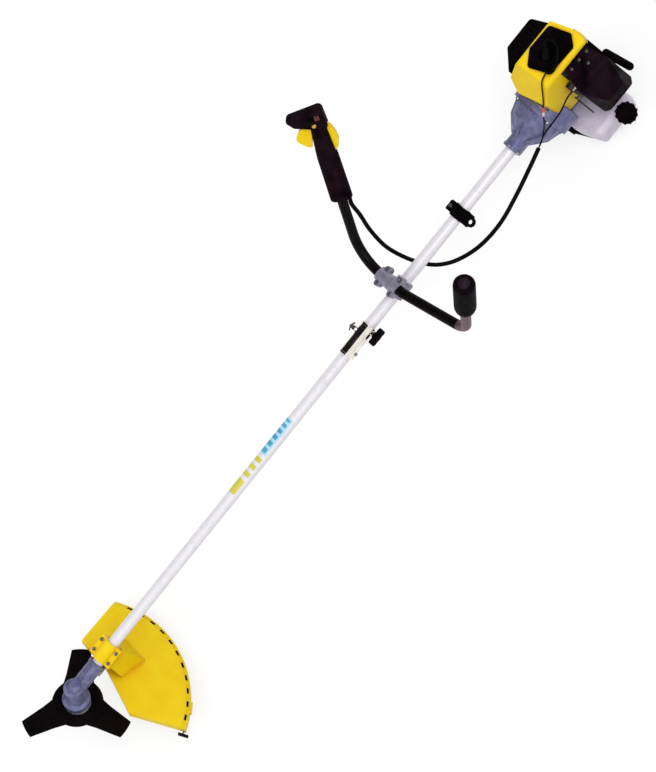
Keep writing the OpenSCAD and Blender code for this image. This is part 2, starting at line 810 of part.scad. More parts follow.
// Coupler: fixed on the lower tube, it takes the upper one and clamps it
module coupler_sleeve() {
  color("silver") difference() {
    union() {
      rod_x(coupler_at, coupler_end, coupler_r);
      for (x = [coupler_at, coupler_end - 4]) rod_x(x, x + 4, coupler_r + 0.8);
      translate([knob_at, 0, 0]) rotate([90, 0, 0]) cylinder(h = boss_out, r = boss_r);
      translate([latch_at, 0, 0]) rotate([latch_angle - 90, 0, 0]) cylinder(h = boss_out, r = boss_r - 1);
    }
    rod_x(coupler_at - 1, coupler_end + 1, tube_r + fit);
    translate([knob_at, 0, 0]) rotate([90, 0, 0]) cylinder(h = boss_out + 1, r = knob_r + run);
    translate([latch_at, 0, 0]) rotate([latch_angle - 90, 0, 0]) cylinder(h = boss_out + 1, r = pin_r + run);
    translate([fix_screw_at, 0, 0]) rotate([90, 0, 0]) cylinder(h = coupler_r + 2, r = 2.55);
  }
}

// T-knob whose screw presses on the upper tube
module coupler_knob() {
  color([0.08, 0.08, 0.08]) translate([knob_at, 0, 0]) rotate([90, 0, 0]) union() {
    translate([0, 0, tube_r + 0.4]) cylinder(h = boss_out - tube_r + 1, r = knob_r);
    translate([0, 0, boss_out + gap]) cylinder(h = 2.6, r1 = 6, r2 = 7.2);
    translate([0, 0, boss_out + gap + 2.4]) linear_extrude(height = 12) union() {
      square([26, 12], center = true);
      for (side = [-1, 1]) translate([side * 13, 0]) circle(r = 7);
      circle(r = 8);
    }
  }
}

// Spring pin that drops into the upper tube's keyway, with its pull tab
module coupler_latch() {
  color("silver") translate([latch_at, 0, 0]) rotate([latch_angle - 90, 0, 0]) union() {
    translate([0, 0, tube_in + 0.5]) cylinder(h = boss_out - tube_in, r = pin_r);
    translate([0, 0, boss_out + gap]) cylinder(h = 4, r = 5);
    translate([0, 0, boss_out + 3]) cylinder(h = 7, r = 4);
    for (side = [-1, 1]) translate([side * 6, 0, boss_out + 8]) rotate([0, side * 25, 0])
      linear_extrude(height = 2.4, center = true) union() {
        circle(r = 5);
        translate([-side * 4, 0]) square([8, 7], center = true);
      }
  }
}

// Handlebar
// A straight run that ends a little inside the bends on both sides of it
module run_between(p, d, len, r) {
  bar(p - lap * d, d, len + 2 * lap, r - 0.1);
}

module handlebar_form(r, over) {
  run_between(sweep_from, right_dir, left_start + right_start, r);
  bend(right_from, right_dir, right_side, bar_bend_r, right_turn, r);
  run_between(right_end, handle_dir, right_run + bar_in_handle + over, r);
  bend(sweep_from, -right_dir, sweep_side, sweep_r, sweep_turn, r);
  run_between(sweep_end, left_dir, left_run, r);
  bend(left_from, left_dir, left_side, left_bend_r, left_turn, r);
  run_between(left_up, grip_dir, left_stub + bar_in_grip + over, r);
}

module handlebar() {
  color([0.07, 0.07, 0.07]) difference() {
    handlebar_form(bar_r, 0);
    handlebar_form(bar_r - bar_wall, 1);
  }
}

module bar_groove() {
  bar(sweep_from - right_dir, right_dir, left_start + right_start + 2, bar_r + fit);
}

module bracket_screw_places() {
  for (x = [-1, 1]) for (y = bracket_screws_y)
    translate([bracket_at + x * bracket_screw_x, y, bar_rise]) children();
}

module bracket_barrel() {
  translate([bracket_at, barrel_to, bar_rise]) rotate([90, 0, 0])
    cylinder(h = barrel_to - barrel_from, r = bar_r + 5);
}

module bracket_ears(low, high) {
  translate([bracket_at, 0, bar_rise + low]) linear_extrude(height = high - low) for (y = bracket_screws_y) {
    translate([-bracket_screw_x, y - 7]) square([2 * bracket_screw_x, 14]);
    for (x = [-1, 1]) translate([x * bracket_screw_x, y]) circle(r = 7);
  }
}

// Saddle that clamps the shaft tube and carries the handlebar
module bracket_body() {
  color("slategray") difference() {
    union() {
      rod_x(bracket_at - 20, bracket_at + 20, tube_r + 6);
      box([bracket_at - 15, -16, 4], [bracket_at + 15, 16, bar_rise]);
      box([bracket_at - 16, -9, -tube_r - 18], [bracket_at + 16, 9, 0]);
      bracket_barrel();
      bracket_ears(-12, 0);
    }
    box([bracket_at - 60, -60, bar_rise - 0.4], [bracket_at + 60, 60, bar_rise + 60]);
    rod_x(bracket_at - 30, bracket_at + 30, tube_r + fit);
    bar_groove();
    box([bracket_at - 30, -1.5, -tube_r - 20], [bracket_at + 30, 1.5, 0]);
    bracket_screw_places() cylinder(h = 40, r = 2.55, center = true);
    for (x = [-1, 1]) translate([bracket_at + x * 9, 0, -tube_r - 11]) rotate([90, 0, 0])
      cylinder(h = 40, r = 2.55, center = true);
  }
}

module bracket_cap() {
  color("slategray") difference() {
    union() {
      bracket_barrel();
      bracket_ears(0, bracket_lip);
    }
    box([bracket_at - 60, -60, bar_rise - 60], [bracket_at + 60, 60, bar_rise + 0.4]);
    bar_groove();
    bracket_screw_places() cylinder(h = 40, r = 2.55, center = true);
  }
}

// Screws of the bracket, the harness clamp, the throttle handle and the engine's castings
module frame_bolts() {
  color("silver") {
    bracket_screw_places() translate([0, 0, bracket_lip]) screw(2.5, 20, 4.3, 4);
    for (x = [-1, 1]) translate([bracket_at + x * 9, 9, -tube_r - 11]) rotate([-90, 0, 0])
      screw(2.5, 18, 4.3, 4);
    translate([harness_at, harness_bolt_y, 7]) screw(2.5, 14, 4.3, 4);
    in_handle() for (z = handle_screws_at) translate([0, -handle_half + 2, z])
      rotate([90, 0, 0]) screw(1.8, 22, 3.4, 2.5);
    engine() for (i = [0:3]) rotate([45 + 90 * i, 0, 0]) translate([clutch_len - 6, flange_bolt_r, 0])
      rotate([0, -90, 0]) screw(2.5, 12, 4.3, 4);
    engine() for (x = collar_bolts_at) translate([x, 10, collar_ear_z]) rotate([-90, 0, 0])
      screw(2.5, 20, 4.3, 4);
  }
}

module left_grip() {
  r = grip_d / 2;
  color([0.06, 0.06, 0.06]) aim(grip_base, grip_dir, [1, 0, 0]) difference() {
    rotate_extrude() polygon([[0, 0], [r - 9, 0], [r - 5, 1.5], [r - 2, 6], [r - 0.5, 12], [r, 20],
      [r, grip_len - 12], [r - 0.8, grip_len - 6], [r - 3, grip_len - 2], [r - 6, grip_len],
      [r - 9, grip_len], [r - 10, grip_len - 3], [0, grip_len - 3]]);
    translate([0, 0, -1]) cylinder(h = bar_in_grip + 1.8, r = bar_r + fit);
  }
}

// Throttle handle
module in_handle() {
  aim(handle_base, handle_dir, trigger_side) children();
}

module at_top() {
  translate([0, 0, handle_len]) children();
}

module handle_form() {
  union() {
    hull() {
      for (x = [-9, 7]) translate([x, 0, 0]) cylinder(h = 12, r = handle_half - 1.5, $fn = 32);
      for (x = [-6, 5]) translate([x, 0, handle_len * 0.38]) cylinder(h = 20, r = handle_half, $fn = 32);
      for (x = [-3, 1]) translate([x, 0, handle_neck]) cylinder(h = 10, r = handle_half - 1.5, $fn = 32);
    }
    at_top() hull() {
      for (y = [-6, 6]) {
        translate([-11, y, -43]) sphere(r = 11, $fn = 24);
        translate([-10, y, -10]) sphere(r = 10, $fn = 24);
        translate([50, y, -20]) sphere(r = 9, $fn = 24);
        translate([42, y, -31]) sphere(r = 8, $fn = 24);
      }
    }
  }
}

module handle_hollow() {
  translate([0, 0, -1]) cylinder(h = bar_in_handle + 1.8, r = bar_r + fit);
  at_top() {
    box([3, -5.5, -98], [70, 5.5, -28]);
    box([-40, -5.5, -120], [-5, 5.5, -36]);
    box([-14, 11, -26], [14, 40, -14]);
    translate([button_at[0], 6, button_at[2]]) rotate([-90, 0, 0]) cylinder(h = 40, r = 5 + run);
  }
  for (z = handle_screws_at) translate([0, 9, z]) rotate([90, 0, 0]) cylinder(h = 26, r = 1.85);
  for (z = handle_screws_at) translate([0, -handle_half - 10, z]) rotate([-90, 0, 0])
    cylinder(h = 12, r = 3.6);
}

module pivot_seats(side) {
  at_top() for (p = [trigger_pivot, lockout_pivot]) translate([p[0], -side, p[1]])
    rotate([-90 * side, 0, 0]) cylinder(h = 10, r = pivot_r + run);
}

module throttle_housing_left() {
  color([0.07, 0.07, 0.07]) in_handle() difference() {
    handle_form();
    handle_hollow();
    box([-100, -100, -10], [100, fit, beyond]);
    pivot_seats(1);
  }
}

module throttle_housing_right() {
  color([0.07, 0.07, 0.07]) in_handle() difference() {
    handle_form();
    handle_hollow();
    box([-100, -fit, -10], [100, 100, beyond]);
    pivot_seats(-1);
  }
}

module trigger_plate(points, pivot) {
  at_top() rotate([90, 0, 0]) linear_extrude(height = 10, center = true) polygon(points);
  at_top() translate([pivot[0], 0, pivot[1]]) rotate([90, 0, 0]) cylinder(h = 16, r = pivot_r, center = true);
}

module throttle_trigger() {
  color("gold") in_handle() trigger_plate([[11, -36], [24, -36], [40, -50], [50, -66], [48, -74], [40, -82],
    [30, -90], [23, -91], [20, -80], [16, -60], [11, -48]], trigger_pivot);
}

module lockout_lever() {
  color("gold") in_handle() trigger_plate([[-20, -43], [-10, -43], [-12, -76], [-18, -106], [-21, -109],
    [-29, -100], [-34, -84], [-32, -66], [-26, -50]], lockout_pivot);
}

module stop_switch() {
  color("firebrick") in_handle() at_top() union() {
    box([-11, 12, -25.5], [-1, 15.5, -14.5]);
    for (x = [-9, -6, -3]) box([x - 1, 15, -24], [x + 1, 18, -16]);
  }
}

module throttle_lock_button() {
  color("goldenrod") in_handle() at_top() translate(button_at) rotate([-90, 0, 0]) union() {
    cylinder(h = 6, r = 5);
    translate([0, 0, 6]) cylinder(h = 1.5, r1 = 5, r2 = 4);
  }
}

// Cables
// A point on a smooth curve through four points, between the middle two
function curve_point(a, b, c, d, t) =
  0.5 * (2 * b + (c - a) * t + (2 * a - 5 * b + 4 * c - d) * t * t + (3 * b - a - 3 * c + d) * t * t * t);
function smooth(route, steps) =
  let (last = len(route) - 1)
  concat([for (i = [0:last - 1]) each [for (k = [0:steps - 1])
    curve_point(route[max(i - 1, 0)], route[i], route[i + 1], route[min(i + 2, last)], k / steps)]],
    [route[last]]);
function along(points, i) = unit(points[min(i + 1, len(points) - 1)] - points[max(i - 1, 0)]);

// Round tube of a few sides along a list of points
module swept(points, r, sides) {
  n = len(points);
  rings = [for (i = [0:n - 1])
    let (t = along(points, i), x = unit(reject([0, 0, 1], t)), y = cross(t, x))
    each [for (k = [0:sides - 1]) points[i] + r * (cos(360 * k / sides) * x + sin(360 * k / sides) * y)]];
  walls = [for (i = [0:n - 2]) each [for (k = [0:sides - 1])
    let (a = i * sides + k, b = i * sides + (k + 1) % sides)
    each [[a, a + sides, b + sides], [a, b + sides, b]]]];
  first = [for (k = [1:sides - 2]) [0, k, k + 1]];
  final = [for (k = [1:sides - 2]) [(n - 1) * sides, (n - 1) * sides + k + 1, (n - 1) * sides + k]];
  polyhedron(points = rings, faces = concat(walls, first, final));
}

module throttle_cable() {
  color([0.05, 0.05, 0.05]) {
    swept(smooth(sheath_route, 4), sheath_r, 8);
    swept(smooth(wire_route, 3), wire_r, 8);
    swept(smooth(stop_route, 3), stop_r, 6);
    swept([joint_from, joint_to], joint_r, 8);
    swept(smooth(stop_tail, 3), stop_r, 6);
  }
}

// Harness clamp with the eye for the hook
module harness_clamp() {
  color([0.06, 0.06, 0.06]) difference() {
    union() {
      rod_x(harness_at - 14, harness_at + 14, tube_r + 5);
      translate([harness_at, 0, 0]) linear_extrude(height = ear_t, center = true) union() {
        translate([0, eye_y]) circle(r = eye_d / 2 + 6);
        translate([-14, eye_y]) square([28, -eye_y]);
        translate([-12, 0]) square([24, harness_bolt_y + 7]);
      }
      box([harness_at - 10, tube_r, -7], [harness_at + 10, harness_bolt_y + 7, 7]);
    }
    rod_x(harness_at - 20, harness_at + 20, tube_r + fit);
    box([harness_at - 20, 0, -1], [harness_at + 20, 60, 1]);
    translate([harness_at, eye_y, 0]) cylinder(h = 4 * ear_t, r = eye_d / 2, center = true);
    translate([harness_at, harness_bolt_y, 0]) cylinder(h = 40, r = 2.55, center = true);
  }
}

// Engine
module clutch_housing() {
  color("lightslategray") engine() difference() {
    union() {
      turned_x([[0, 0], [collar_r, 0], [collar_r, 28], [collar_r + 4, 36], [48, drum_from - 4],
        [54, clutch_len - 14], [55, clutch_len - 6], [fan_r, clutch_len - 6], [fan_r, clutch_len], [0,
          clutch_len]]);
      box([2, -10, collar_ear_z - 7], [32, 10, 0]);
      for (i = [0:5]) rotate([30 + 60 * i, 0, 0])
        translate([0, 0, -2]) linear_extrude(height = 4)
        polygon([[27, 18], [27, collar_r + 2], [drum_from - 8, 49], [clutch_len - 14, 57],
          [clutch_len - 5, 62], [clutch_len - 5, 50], [drum_from - 4, 46]]);
    }
    rod_x(-1, tube_in_housing + 1, tube_r + fit);
    rod_x(0, clutch_seat + 1, 10);
    rod_x(clutch_seat - 0.2, drum_from - 1, clutch_bearing_r + fit);
    rod_x(drum_from - 2, clutch_len + 1, drum_r + 3);
    box([-1, -1.5, collar_ear_z - 8], [tube_in_housing + 1, 1.5, 0]);
    for (x = collar_bolts_at) translate([x, 0, collar_ear_z]) rotate([90, 0, 0])
      cylinder(h = 40, r = 2.55, center = true);
    for (i = [0:3]) rotate([45 + 90 * i, 0, 0]) translate([0, flange_bolt_r, 0]) rotate([0, 90, 0])
      cylinder(h = clutch_len + 1, r = 2.55);
  }
}

module clutch_drum() {
  hole = drum_square + 2 * fit;
  color("gray") engine() difference() {
    union() {
      rod_x(drum_hub, drum_from + 1, clutch_journal - run);
      difference() {
        rod_x(drum_from, drum_to, drum_r);
        rod_x(drum_from + drum_wall, drum_to + 1, drum_r - drum_wall);
      }
    }
    translate([drum_hub + 8, 0, 0]) cube([18, hole, hole], center = true);
  }
}

module clutch_shoes() {
  shoe_r = drum_r - drum_wall - 0.6;
  color("dimgray") engine() difference() {
    ring_x(drum_from + drum_wall + 3, flywheel_at - 20, shoe_r, 14);
    box([0, -2.5, -60], [clutch_len, 2.5, 60]);
    for (side = [-1, 1]) translate([0, side * 22, 0]) rotate([0, 90, 0]) cylinder(h = clutch_len, r = 3.1);
  }
}

module flywheel() {
  boss_at = flywheel_at - 20;
  color("silver") engine() difference() {
    union() {
      rod_x(boss_at, flywheel_at + 12, 30);
      rod_x(flywheel_at, flywheel_at + 4, fan_tip);
      rod_x(flywheel_at + 4, flywheel_at + 12, 46);
      for (i = [0:fan_blades - 1]) rotate([360 * i / fan_blades, 0, 0])
        box([flywheel_at + 3, 40, -1.5], [flywheel_at + 24, fan_tip - 0.2, 1.5]);
      for (side = [-1, 1]) translate([drum_from + drum_wall + 3.2, side * 22, 0]) rotate([0, 90, 0])
        cylinder(h = boss_at - drum_from - drum_wall - 3, r = 3);
    }
    rod_x(0, fan_back, crank_r + fit);
  }
}

module crankshaft() {
  web_front = cylinder_at - web_w - 8;
  web_rear = cylinder_at + 8;
  color("silver") engine() union() {
    rod_x(drum_from + drum_wall + 3, web_front, crank_r - run);
    rod_x(web_front, web_front + web_w, web_r);
    translate([0, 0, crank_throw]) rod_x(web_front + web_w, web_rear, 9);
    rod_x(web_rear, web_rear + web_w, web_r);
    rod_x(web_rear + web_w, pulley_from - 6, crank_r - run);
    rod_x(pulley_from - 18, pulley_from - 10, 24);
    for (side = [-1, 1]) box([pulley_from - 10, side * 17 - 4, -5], [pulley_from - 3, side * 17 + 4, 5]);
  }
}

module engine_bearings() {
  color("gainsboro") engine() {
    ring_x(clutch_seat, clutch_seat + clutch_bearing_w, clutch_bearing_r, clutch_journal);
    ring_x(front_bearing_at, front_bearing_at + main_bearing_w, main_bearing_r, crank_r);
    ring_x(rear_bearing_at, rear_bearing_at + main_bearing_w, main_bearing_r, crank_r);
  }
}

module crankcase() {
  color("lightslategray") engine() difference() {
    union() {
      rod_x(clutch_len + 0.1, fan_back, fan_r);
      rod_x(fan_back, core_end, core_r);
      rod_x(core_end - 8, core_end, starter_r - 2);
      box([cylinder_at - 40, -36, 0], [cylinder_at + 36, 36, cylinder_base - 0.1]);
      for (i = [0:5]) rotate([60 * i, 0, 0]) box([fan_back - 1, 0, -2], [core_end - 7, core_r + 5, 2]);
    }
    rod_x(clutch_len - 1, fan_back - 4, fan_r - fan_wall);
    box([core_end - 9, -fin_y / 2 - 1, cylinder_base - 0.1], [beyond, fin_y / 2 + 1, beyond]);
    box([clutch_len + 6, -34, 30], [fan_back - 4, 34, fan_r + 4]);
    rod_x(fan_back - 5, core_end + 1, crank_r + 1.5);
    rod_x(front_bearing_at - 0.1, cylinder_at, main_bearing_r + fit);
    rod_x(cylinder_at, rear_bearing_at + main_bearing_w + 0.1, main_bearing_r + fit);
    rod_x(cylinder_at - web_w - 10, cylinder_at + web_w + 10, web_r + 2);
    translate([cylinder_at, 0, 0]) cylinder(h = cylinder_base + 1, r = bore_r + 1);
    for (i = [0:3]) rotate([45 + 90 * i, 0, 0]) translate([0, flange_bolt_r, 0]) rotate([0, 90, 0])
      cylinder(h = clutch_len + 10, r = 2.55);
  }
}

module fin_outline() {
  x = fin_x / 2;
  y = fin_y / 2;
  c = 12;
  polygon([[x, y - c], [x - c, y], [c - x, y], [-x, y - c], [-x, c - y], [c - x, -y], [x - c, -y], [x,
    c - y]]);
}

module cylinder_block() {
  pitch = (cylinder_top - cylinder_base - 14) / fin_count;
  difference() {
    union() {
      translate([0, 0, cylinder_base]) linear_extrude(height = 6) square([fin_x, 68], center = true);
      translate([0, 0, cylinder_base]) cylinder(h = cylinder_top - cylinder_base - 2, r = 29);
      for (i = [0:fin_count - 1]) translate([0, 0, cylinder_base + 12 + i * pitch])
        linear_extrude(height = fin_t) fin_outline();
      translate([0, 0, port_z]) rotate([90, 0, 0]) cylinder(h = 2 * port_out, r = 17, center = true);
      translate([0, 0, cylinder_top - 6]) cylinder(h = 6, r = 12);
    }
    translate([0, 0, cylinder_base - 1]) cylinder(h = cylinder_top - cylinder_base - 13, r = bore_r);
    translate([0, 0, port_z]) rotate([90, 0, 0]) cylinder(h = 2 * port_out + 2, r = 11, center = true);
    translate([0, 0, cylinder_top - 20]) cylinder(h = 30, r = 7);
    box([-9, -fin_y, filter_top - 12], [fin_x, filter_right - 1, 2 * cylinder_top]);
  }
}

module engine_cylinder() {
  color("silver") engine() translate([cylinder_at, 0, 0]) cylinder_block();
}

// Cooling shroud over the fan and the cylinder
module cover_form(inset) {
  low = 6 - 6 * inset;
  top = cover_top - inset;
  r = cover_round - inset;
  side = rounded_points([[cover_front + inset, low - 20], [cover_front + inset, 73],
    [cover_hump + 0.6 * inset, top], [cover_rear - inset, top], [cover_rear - inset, low - 20]], r);
  front = rounded_points([[cover_left + inset, low - 20], [cover_left + inset, 69],
    [cover_left + 9 + inset, top], [cover_right - 20 - inset, top], [cover_right - inset, 69],
    [cover_right - inset, low - 20]], r);
  plan = rounded_points(shrunk(cover_plan, inset), r);
  intersection() {
    translate([0, cover_right, 0]) rotate([90, 0, 0]) linear_extrude(height = cover_right - cover_left)
      polygon(side);
    translate([cover_front, 0, 0]) rotate([90, 0, 90]) linear_extrude(height = cover_rear - cover_front)
      polygon(front);
    linear_extrude(height = beyond, center = true) polygon(plan);
  }
}

module cylinder_cover() {
  color("gold") engine() difference() {
    cover_form(0);
    cover_form(cover_wall);
    rod_x(0, fan_back + 1, fan_r + 0.4);
    box([0, -beyond, -beyond], [beyond, beyond, 6]);
    box([cylinder_at - 8, -beyond, -beyond], [beyond, filter_right, filter_top + 2]);
    box([core_end + 14, -beyond, -beyond], [beyond, -2, cover_top - 34]);
    box([core_end - 12, -beyond, -beyond], [beyond, beyond, starter_r + 2]);
    box([muffler_from - 4, cover_right - 30, muffler_low - 12], [muffler_to + 4, beyond, muffler_top + 4]);
    box([cylinder_at - 22, -beyond, carb_z - 20], [cylinder_at, filter_right, carb_z + 20]);
    translate([0, 0, cover_top - 30]) linear_extrude(height = beyond)
      polygon(rounded_points(hood_plan, hood_round));
  }
}

// Black hood over the spark plug, let into the shroud's top
module plug_cover() {
  color([0.08, 0.08, 0.08]) engine() difference() {
    translate([0, 0, cover_top - 10]) linear_extrude(height = 14)
      polygon(rounded_points(shrunk(hood_plan, gap), hood_round));
    for (i = [0:3]) box([cylinder_at + 24 + i * 8, -4, cover_top - 40], [cylinder_at + 28 + i * 8, 26,
      beyond]);
    translate([cylinder_at, 0, 0]) cylinder(h = beyond, r = boot_r + 0.6);
    translate([cylinder_at + 5, 4, cover_top - 4]) cylinder(h = beyond, r = 2 * boot_r);
    translate([lead_end[0], lead_end[1], 0]) cylinder(h = beyond, r = lead_r + 1.2);
  }
}

// Rubber boot on the spark plug, the plug's hexagon under it, and its lead
module plug_boot() {
  color([0.05, 0.05, 0.05]) engine() {
    translate([cylinder_at, 0, cylinder_top]) union() {
      translate([0, 0, -14]) cylinder(h = 15, r = 6.9);
      cylinder(h = 22, r = boot_r);
      translate([0, 0, 22]) sphere(r = boot_r);
      translate([0, 0, 22]) rotate([-60, 0, -50]) cylinder(h = 30, r1 = boot_r - 1, r2 = 5);
    }
    swept(smooth(lead_route, 3), lead_r, 8);
  }
}

// Exhaust
module muffler() {
  color("dimgray") engine() difference() {
    union() {
      hull() for (x = [muffler_from + 12, muffler_to - 12]) for (z = [muffler_low + 12, muffler_top - 12])
        translate([x, port_out + 3, z]) rotate([-90, 0, 0])
        cylinder(h = muffler_out - port_out - 3, r = 12, $fn = 24);
      translate([cylinder_at, port_out + 0.1, port_z]) rotate([-90, 0, 0]) cylinder(h = 4, r = 17);
      translate([muffler_from + 16, 76, muffler_low - 8]) cylinder(h = 20, r = 8);
    }
    translate([muffler_from + 16, 76, muffler_low - 9]) cylinder(h = 20, r = 6);
    box([muffler_from + 6, port_out + 6, muffler_low + 6], [muffler_to - 6, muffler_out - 3,
      muffler_top - 6]);
    translate([cylinder_at, port_out - 1, port_z]) rotate([-90, 0, 0]) cylinder(h = 10, r = 11);
  }
}

module shield_form(inset) {
  r = shield_round;
  hull() for (z = [shield_low + r, shield_top - r]) {
    for (x = [shield_from + r, shield_to - r]) translate([x, cover_right - 4.3, z]) sphere(r = r - inset,
      $fn = 24);
    for (x = [shield_face[0] + r, shield_face[1] - r]) translate([x, shield_out - r, z])
      sphere(r = r - inset, $fn = 24);
  }
}

module muffler_cover() {
  slot_n = 7;
  step = (shield_face[1] - shield_face[0] - 10) / slot_n;
  color([0.09, 0.09, 0.09]) engine() union() {
    difference() {
      shield_form(0);
      shield_form(shield_wall);
      box([0, -beyond, -beyond], [beyond, cover_right + 0.6, beyond]);
      for (i = [0:slot_n - 1]) {
        box([shield_face[0] + 7 + i * step, cover_right + 6, shield_top - 6],
          [shield_face[0] + 7 + (i + 0.5) * step, shield_out - 12, beyond]);
        box([shield_face[0] + 7 + i * step, shield_out - 6, shield_low + 16],
          [shield_face[0] + 7 + (i + 0.5) * step, beyond, shield_top - 16]);
      }
      box([muffler_from + 4, 64, 0], [muffler_from + 28, 94, shield_low + 12]);
    }
    for (x = [muffler_from + 18, muffler_to - 18]) translate([x, muffler_out + 0.1, muffler_low + 15])
      rotate([-90, 0, 0]) cylinder(h = shield_out - muffler_out - 1, r = 5);
  }
}

// Carburettor and air filter
module carburettor() {
  color("silver") engine() difference() {
    union() {
      box([carb_x - 20, -carb_out + 6, carb_z - 16], [carb_x + 20, -port_out - 5, carb_z + 16]);
      translate([carb_x, -port_out - 0.1, carb_z]) rotate([90, 0, 0]) cylinder(h = carb_out - port_out,
        r = 17);
      translate([lever_at[0], lever_at[1], carb_z]) cylinder(h = 19, r = 6);
    }
    translate([carb_x, -port_out + 1, carb_z]) rotate([90, 0, 0]) cylinder(h = carb_out, r = 11);
    translate([lever_at[0], lever_at[1], carb_z + 12]) cylinder(h = 20, r = 3 + run);
    translate([choke_at[0] - 6, choke_at[1], choke_at[2]]) rotate([0, 90, 0]) cylinder(h = 14, r = 2.5 + run);
    translate([primer_x, -64, carb_z - 17]) cylinder(h = 6, r = 9.4);
  }
}

module carb_lever() {
  color("goldenrod") engine() translate([lever_at[0], lever_at[1], 0]) union() {
    translate([0, 0, carb_z + 13]) cylinder(h = 8, r = 3);
    translate([0, 0, carb_z + 19.3]) linear_extrude(height = 2.5) union() {
      circle(r = 6);
      translate([-14, -3]) square([14, 6]);
      translate([-14, 0]) circle(r = 4);
    }
  }
}

module primer_bulb() {
  color([0.75, 0.2, 0.15]) engine() translate([primer_x, -64, carb_z - 16]) union() {
    translate([0, 0, -2]) cylinder(h = 2, r = 9);
    translate([0, 0, -4]) difference() {
      sphere(r = 8);
      box([-20, -20, 2.5], [20, 20, 20]);
    }
  }
}

module air_filter_base() {
  color([0.12, 0.12, 0.12]) engine() difference() {
    union() {
      box([cylinder_at - 2, plate_y - 3, filter_low + 10], [core_end + 26, plate_y, filter_top - 14]);
      translate([carb_x, plate_y, carb_z]) rotate([90, 0, 0]) cylinder(h = 8, r = 13.5);
    }
    translate([carb_x, 0, carb_z]) rotate([90, 0, 0]) cylinder(h = beyond, r = 11);
  }
}

module filter_form(inset) {
  r = filter_round - inset;
  front = cylinder_at - 16 + inset;
  plan = rounded_points(shrunk(filter_plan, inset), r);
  side = rounded_points(shrunk(filter_side, inset), r);
  intersection() {
    translate([0, 0, filter_low]) linear_extrude(height = filter_top - filter_low) polygon(plan);
    rotate([90, 0, 90]) linear_extrude(height = beyond) polygon(side);
    rotate([90, 0, 0]) linear_extrude(height = 2 * beyond, center = true)
      polygon([[front, -beyond], [front, 60], [front + 5, filter_top + 2], [beyond, filter_top + 2],
        [beyond, -beyond]]);
  }
}

module air_filter_cover() {
  color([0.1, 0.1, 0.1]) engine() difference() {
    filter_form(0);
    filter_form(filter_wall);
    box([0, plate_y + 0.3, -beyond], [beyond, beyond, filter_top - 9]);
    translate([carb_x, plate_y + 1, carb_z]) rotate([90, 0, 0]) cylinder(h = 10, r = 14);
    translate([carb_x, plate_y + 1, carb_z]) rotate([90, 0, 0]) cylinder(h = 1.2, r = 17.4);
    for (i = [0:2]) box([cylinder_at + 16 + i * 14, filter_out - 10, 20],
      [cylinder_at + 23 + i * 14, filter_out + 20, 26]);
  }
}

module choke_lever() {
  color([0.85, 0.85, 0.85]) engine() translate(choke_at) union() {
    translate([-10, 0, 0]) rotate([0, 90, 0]) cylinder(h = 16, r = 2.5);
    translate([-12, 0, 0]) rotate([0, 90, 0]) linear_extrude(height = 3) union() {
      circle(r = 6);
      translate([-3, -40]) square([6, 40]);
      translate([0, -42]) circle(r = 6);
    }
  }
}

// Recoil starter at the rear
module starter_housing() {
  color([0.1, 0.1, 0.1]) engine() difference() {
    union() {
      turned_x([[starter_r, core_end + 0.2], [starter_r, starter_end - 14], [starter_r - 10, starter_end],
        [0, starter_end], [0, pulley_from - 0.5], [post_r - run, pulley_from - 0.5],
        [post_r - run, starter_end - 3], [starter_r - 12, starter_end - 3], [starter_r - 3, starter_end - 15],
        [starter_r - 3, core_end + 4], [core_r + 2, core_end + 4], [core_r + 2, core_end + 0.2]]);
      translate([rope_x, 0, 0]) aim(rope_foot + guide_from * rope_dir, rope_dir, [1, 0, 0])
        cylinder(h = rope_exit - guide_from, r1 = 9, r2 = 6.5);
    }
    translate([rope_x, 0, 0]) aim(rope_foot, rope_dir, [1, 0, 0])
      cylinder(h = rope_exit + 5, r = rope_r + 0.8);
    for (i = [0:11]) rotate([30 * i + 7, 0, 0]) box([starter_end - 4, 14, -2], [starter_end + 1, 32, 2]);
    for (i = [0:23]) rotate([15 * i, 0, 0]) box([core_end + 8, starter_r - 6, -3],
      [core_end + 22, starter_r + 2, 3]);
  }
}

module starter_pulley() {
  rim = rope_wind_r + 5;
  groove = rope_wind_r - rope_r - 0.4;
  back = pulley_from + pulley_w;
  color("whitesmoke") engine() difference() {
    turned_x([[post_r, pulley_from], [rim, pulley_from], [rim, pulley_from + 2], [groove, pulley_from + 2.2],
      [groove, back - 2.2], [rim, back - 2], [rim, back], [post_r, back]]);
    for (i = [0:5]) rotate([60 * i, 0, 0]) translate([0, 19, 0]) rotate([0, 90, 0]) cylinder(h = beyond,
      r = 5);
  }
}

// T-handle and the straight stretch of its rope
module starter_handle() {
  color([0.07, 0.07, 0.07]) engine() translate([rope_x, 0, 0]) aim(rope_foot, rope_dir, [1, 0, 0]) union() {
    cylinder(h = rope_exit + 8, r = rope_r);
    translate([0, 0, rope_exit + 2]) cylinder(h = t_bar_at - rope_exit - 5, r1 = 6, r2 = 8);
    translate([0, 0, t_bar_at]) rotate([90, 0, t_bar_turn]) union() {
      cylinder(h = t_bar_len - 2 * t_bar_r, r = t_bar_r, center = true);
      for (side = [-1, 1]) translate([0, 0, side * (t_bar_len / 2 - t_bar_r)]) sphere(r = t_bar_r);
    }
  }
}

// Fuel tank
// A flat rounded rectangle between two corners
module rounded(low, high, r) {
  translate([low[0] + r, low[1]]) square([high[0] - low[0] - 2 * r, high[1] - low[1]]);
  translate([low[0], low[1] + r]) square([high[0] - low[0], high[1] - low[1] - 2 * r]);
  for (x = [low[0] + r, high[0] - r]) for (y = [low[1] + r, high[1] - r]) translate([x, y]) circle(r = r);
}

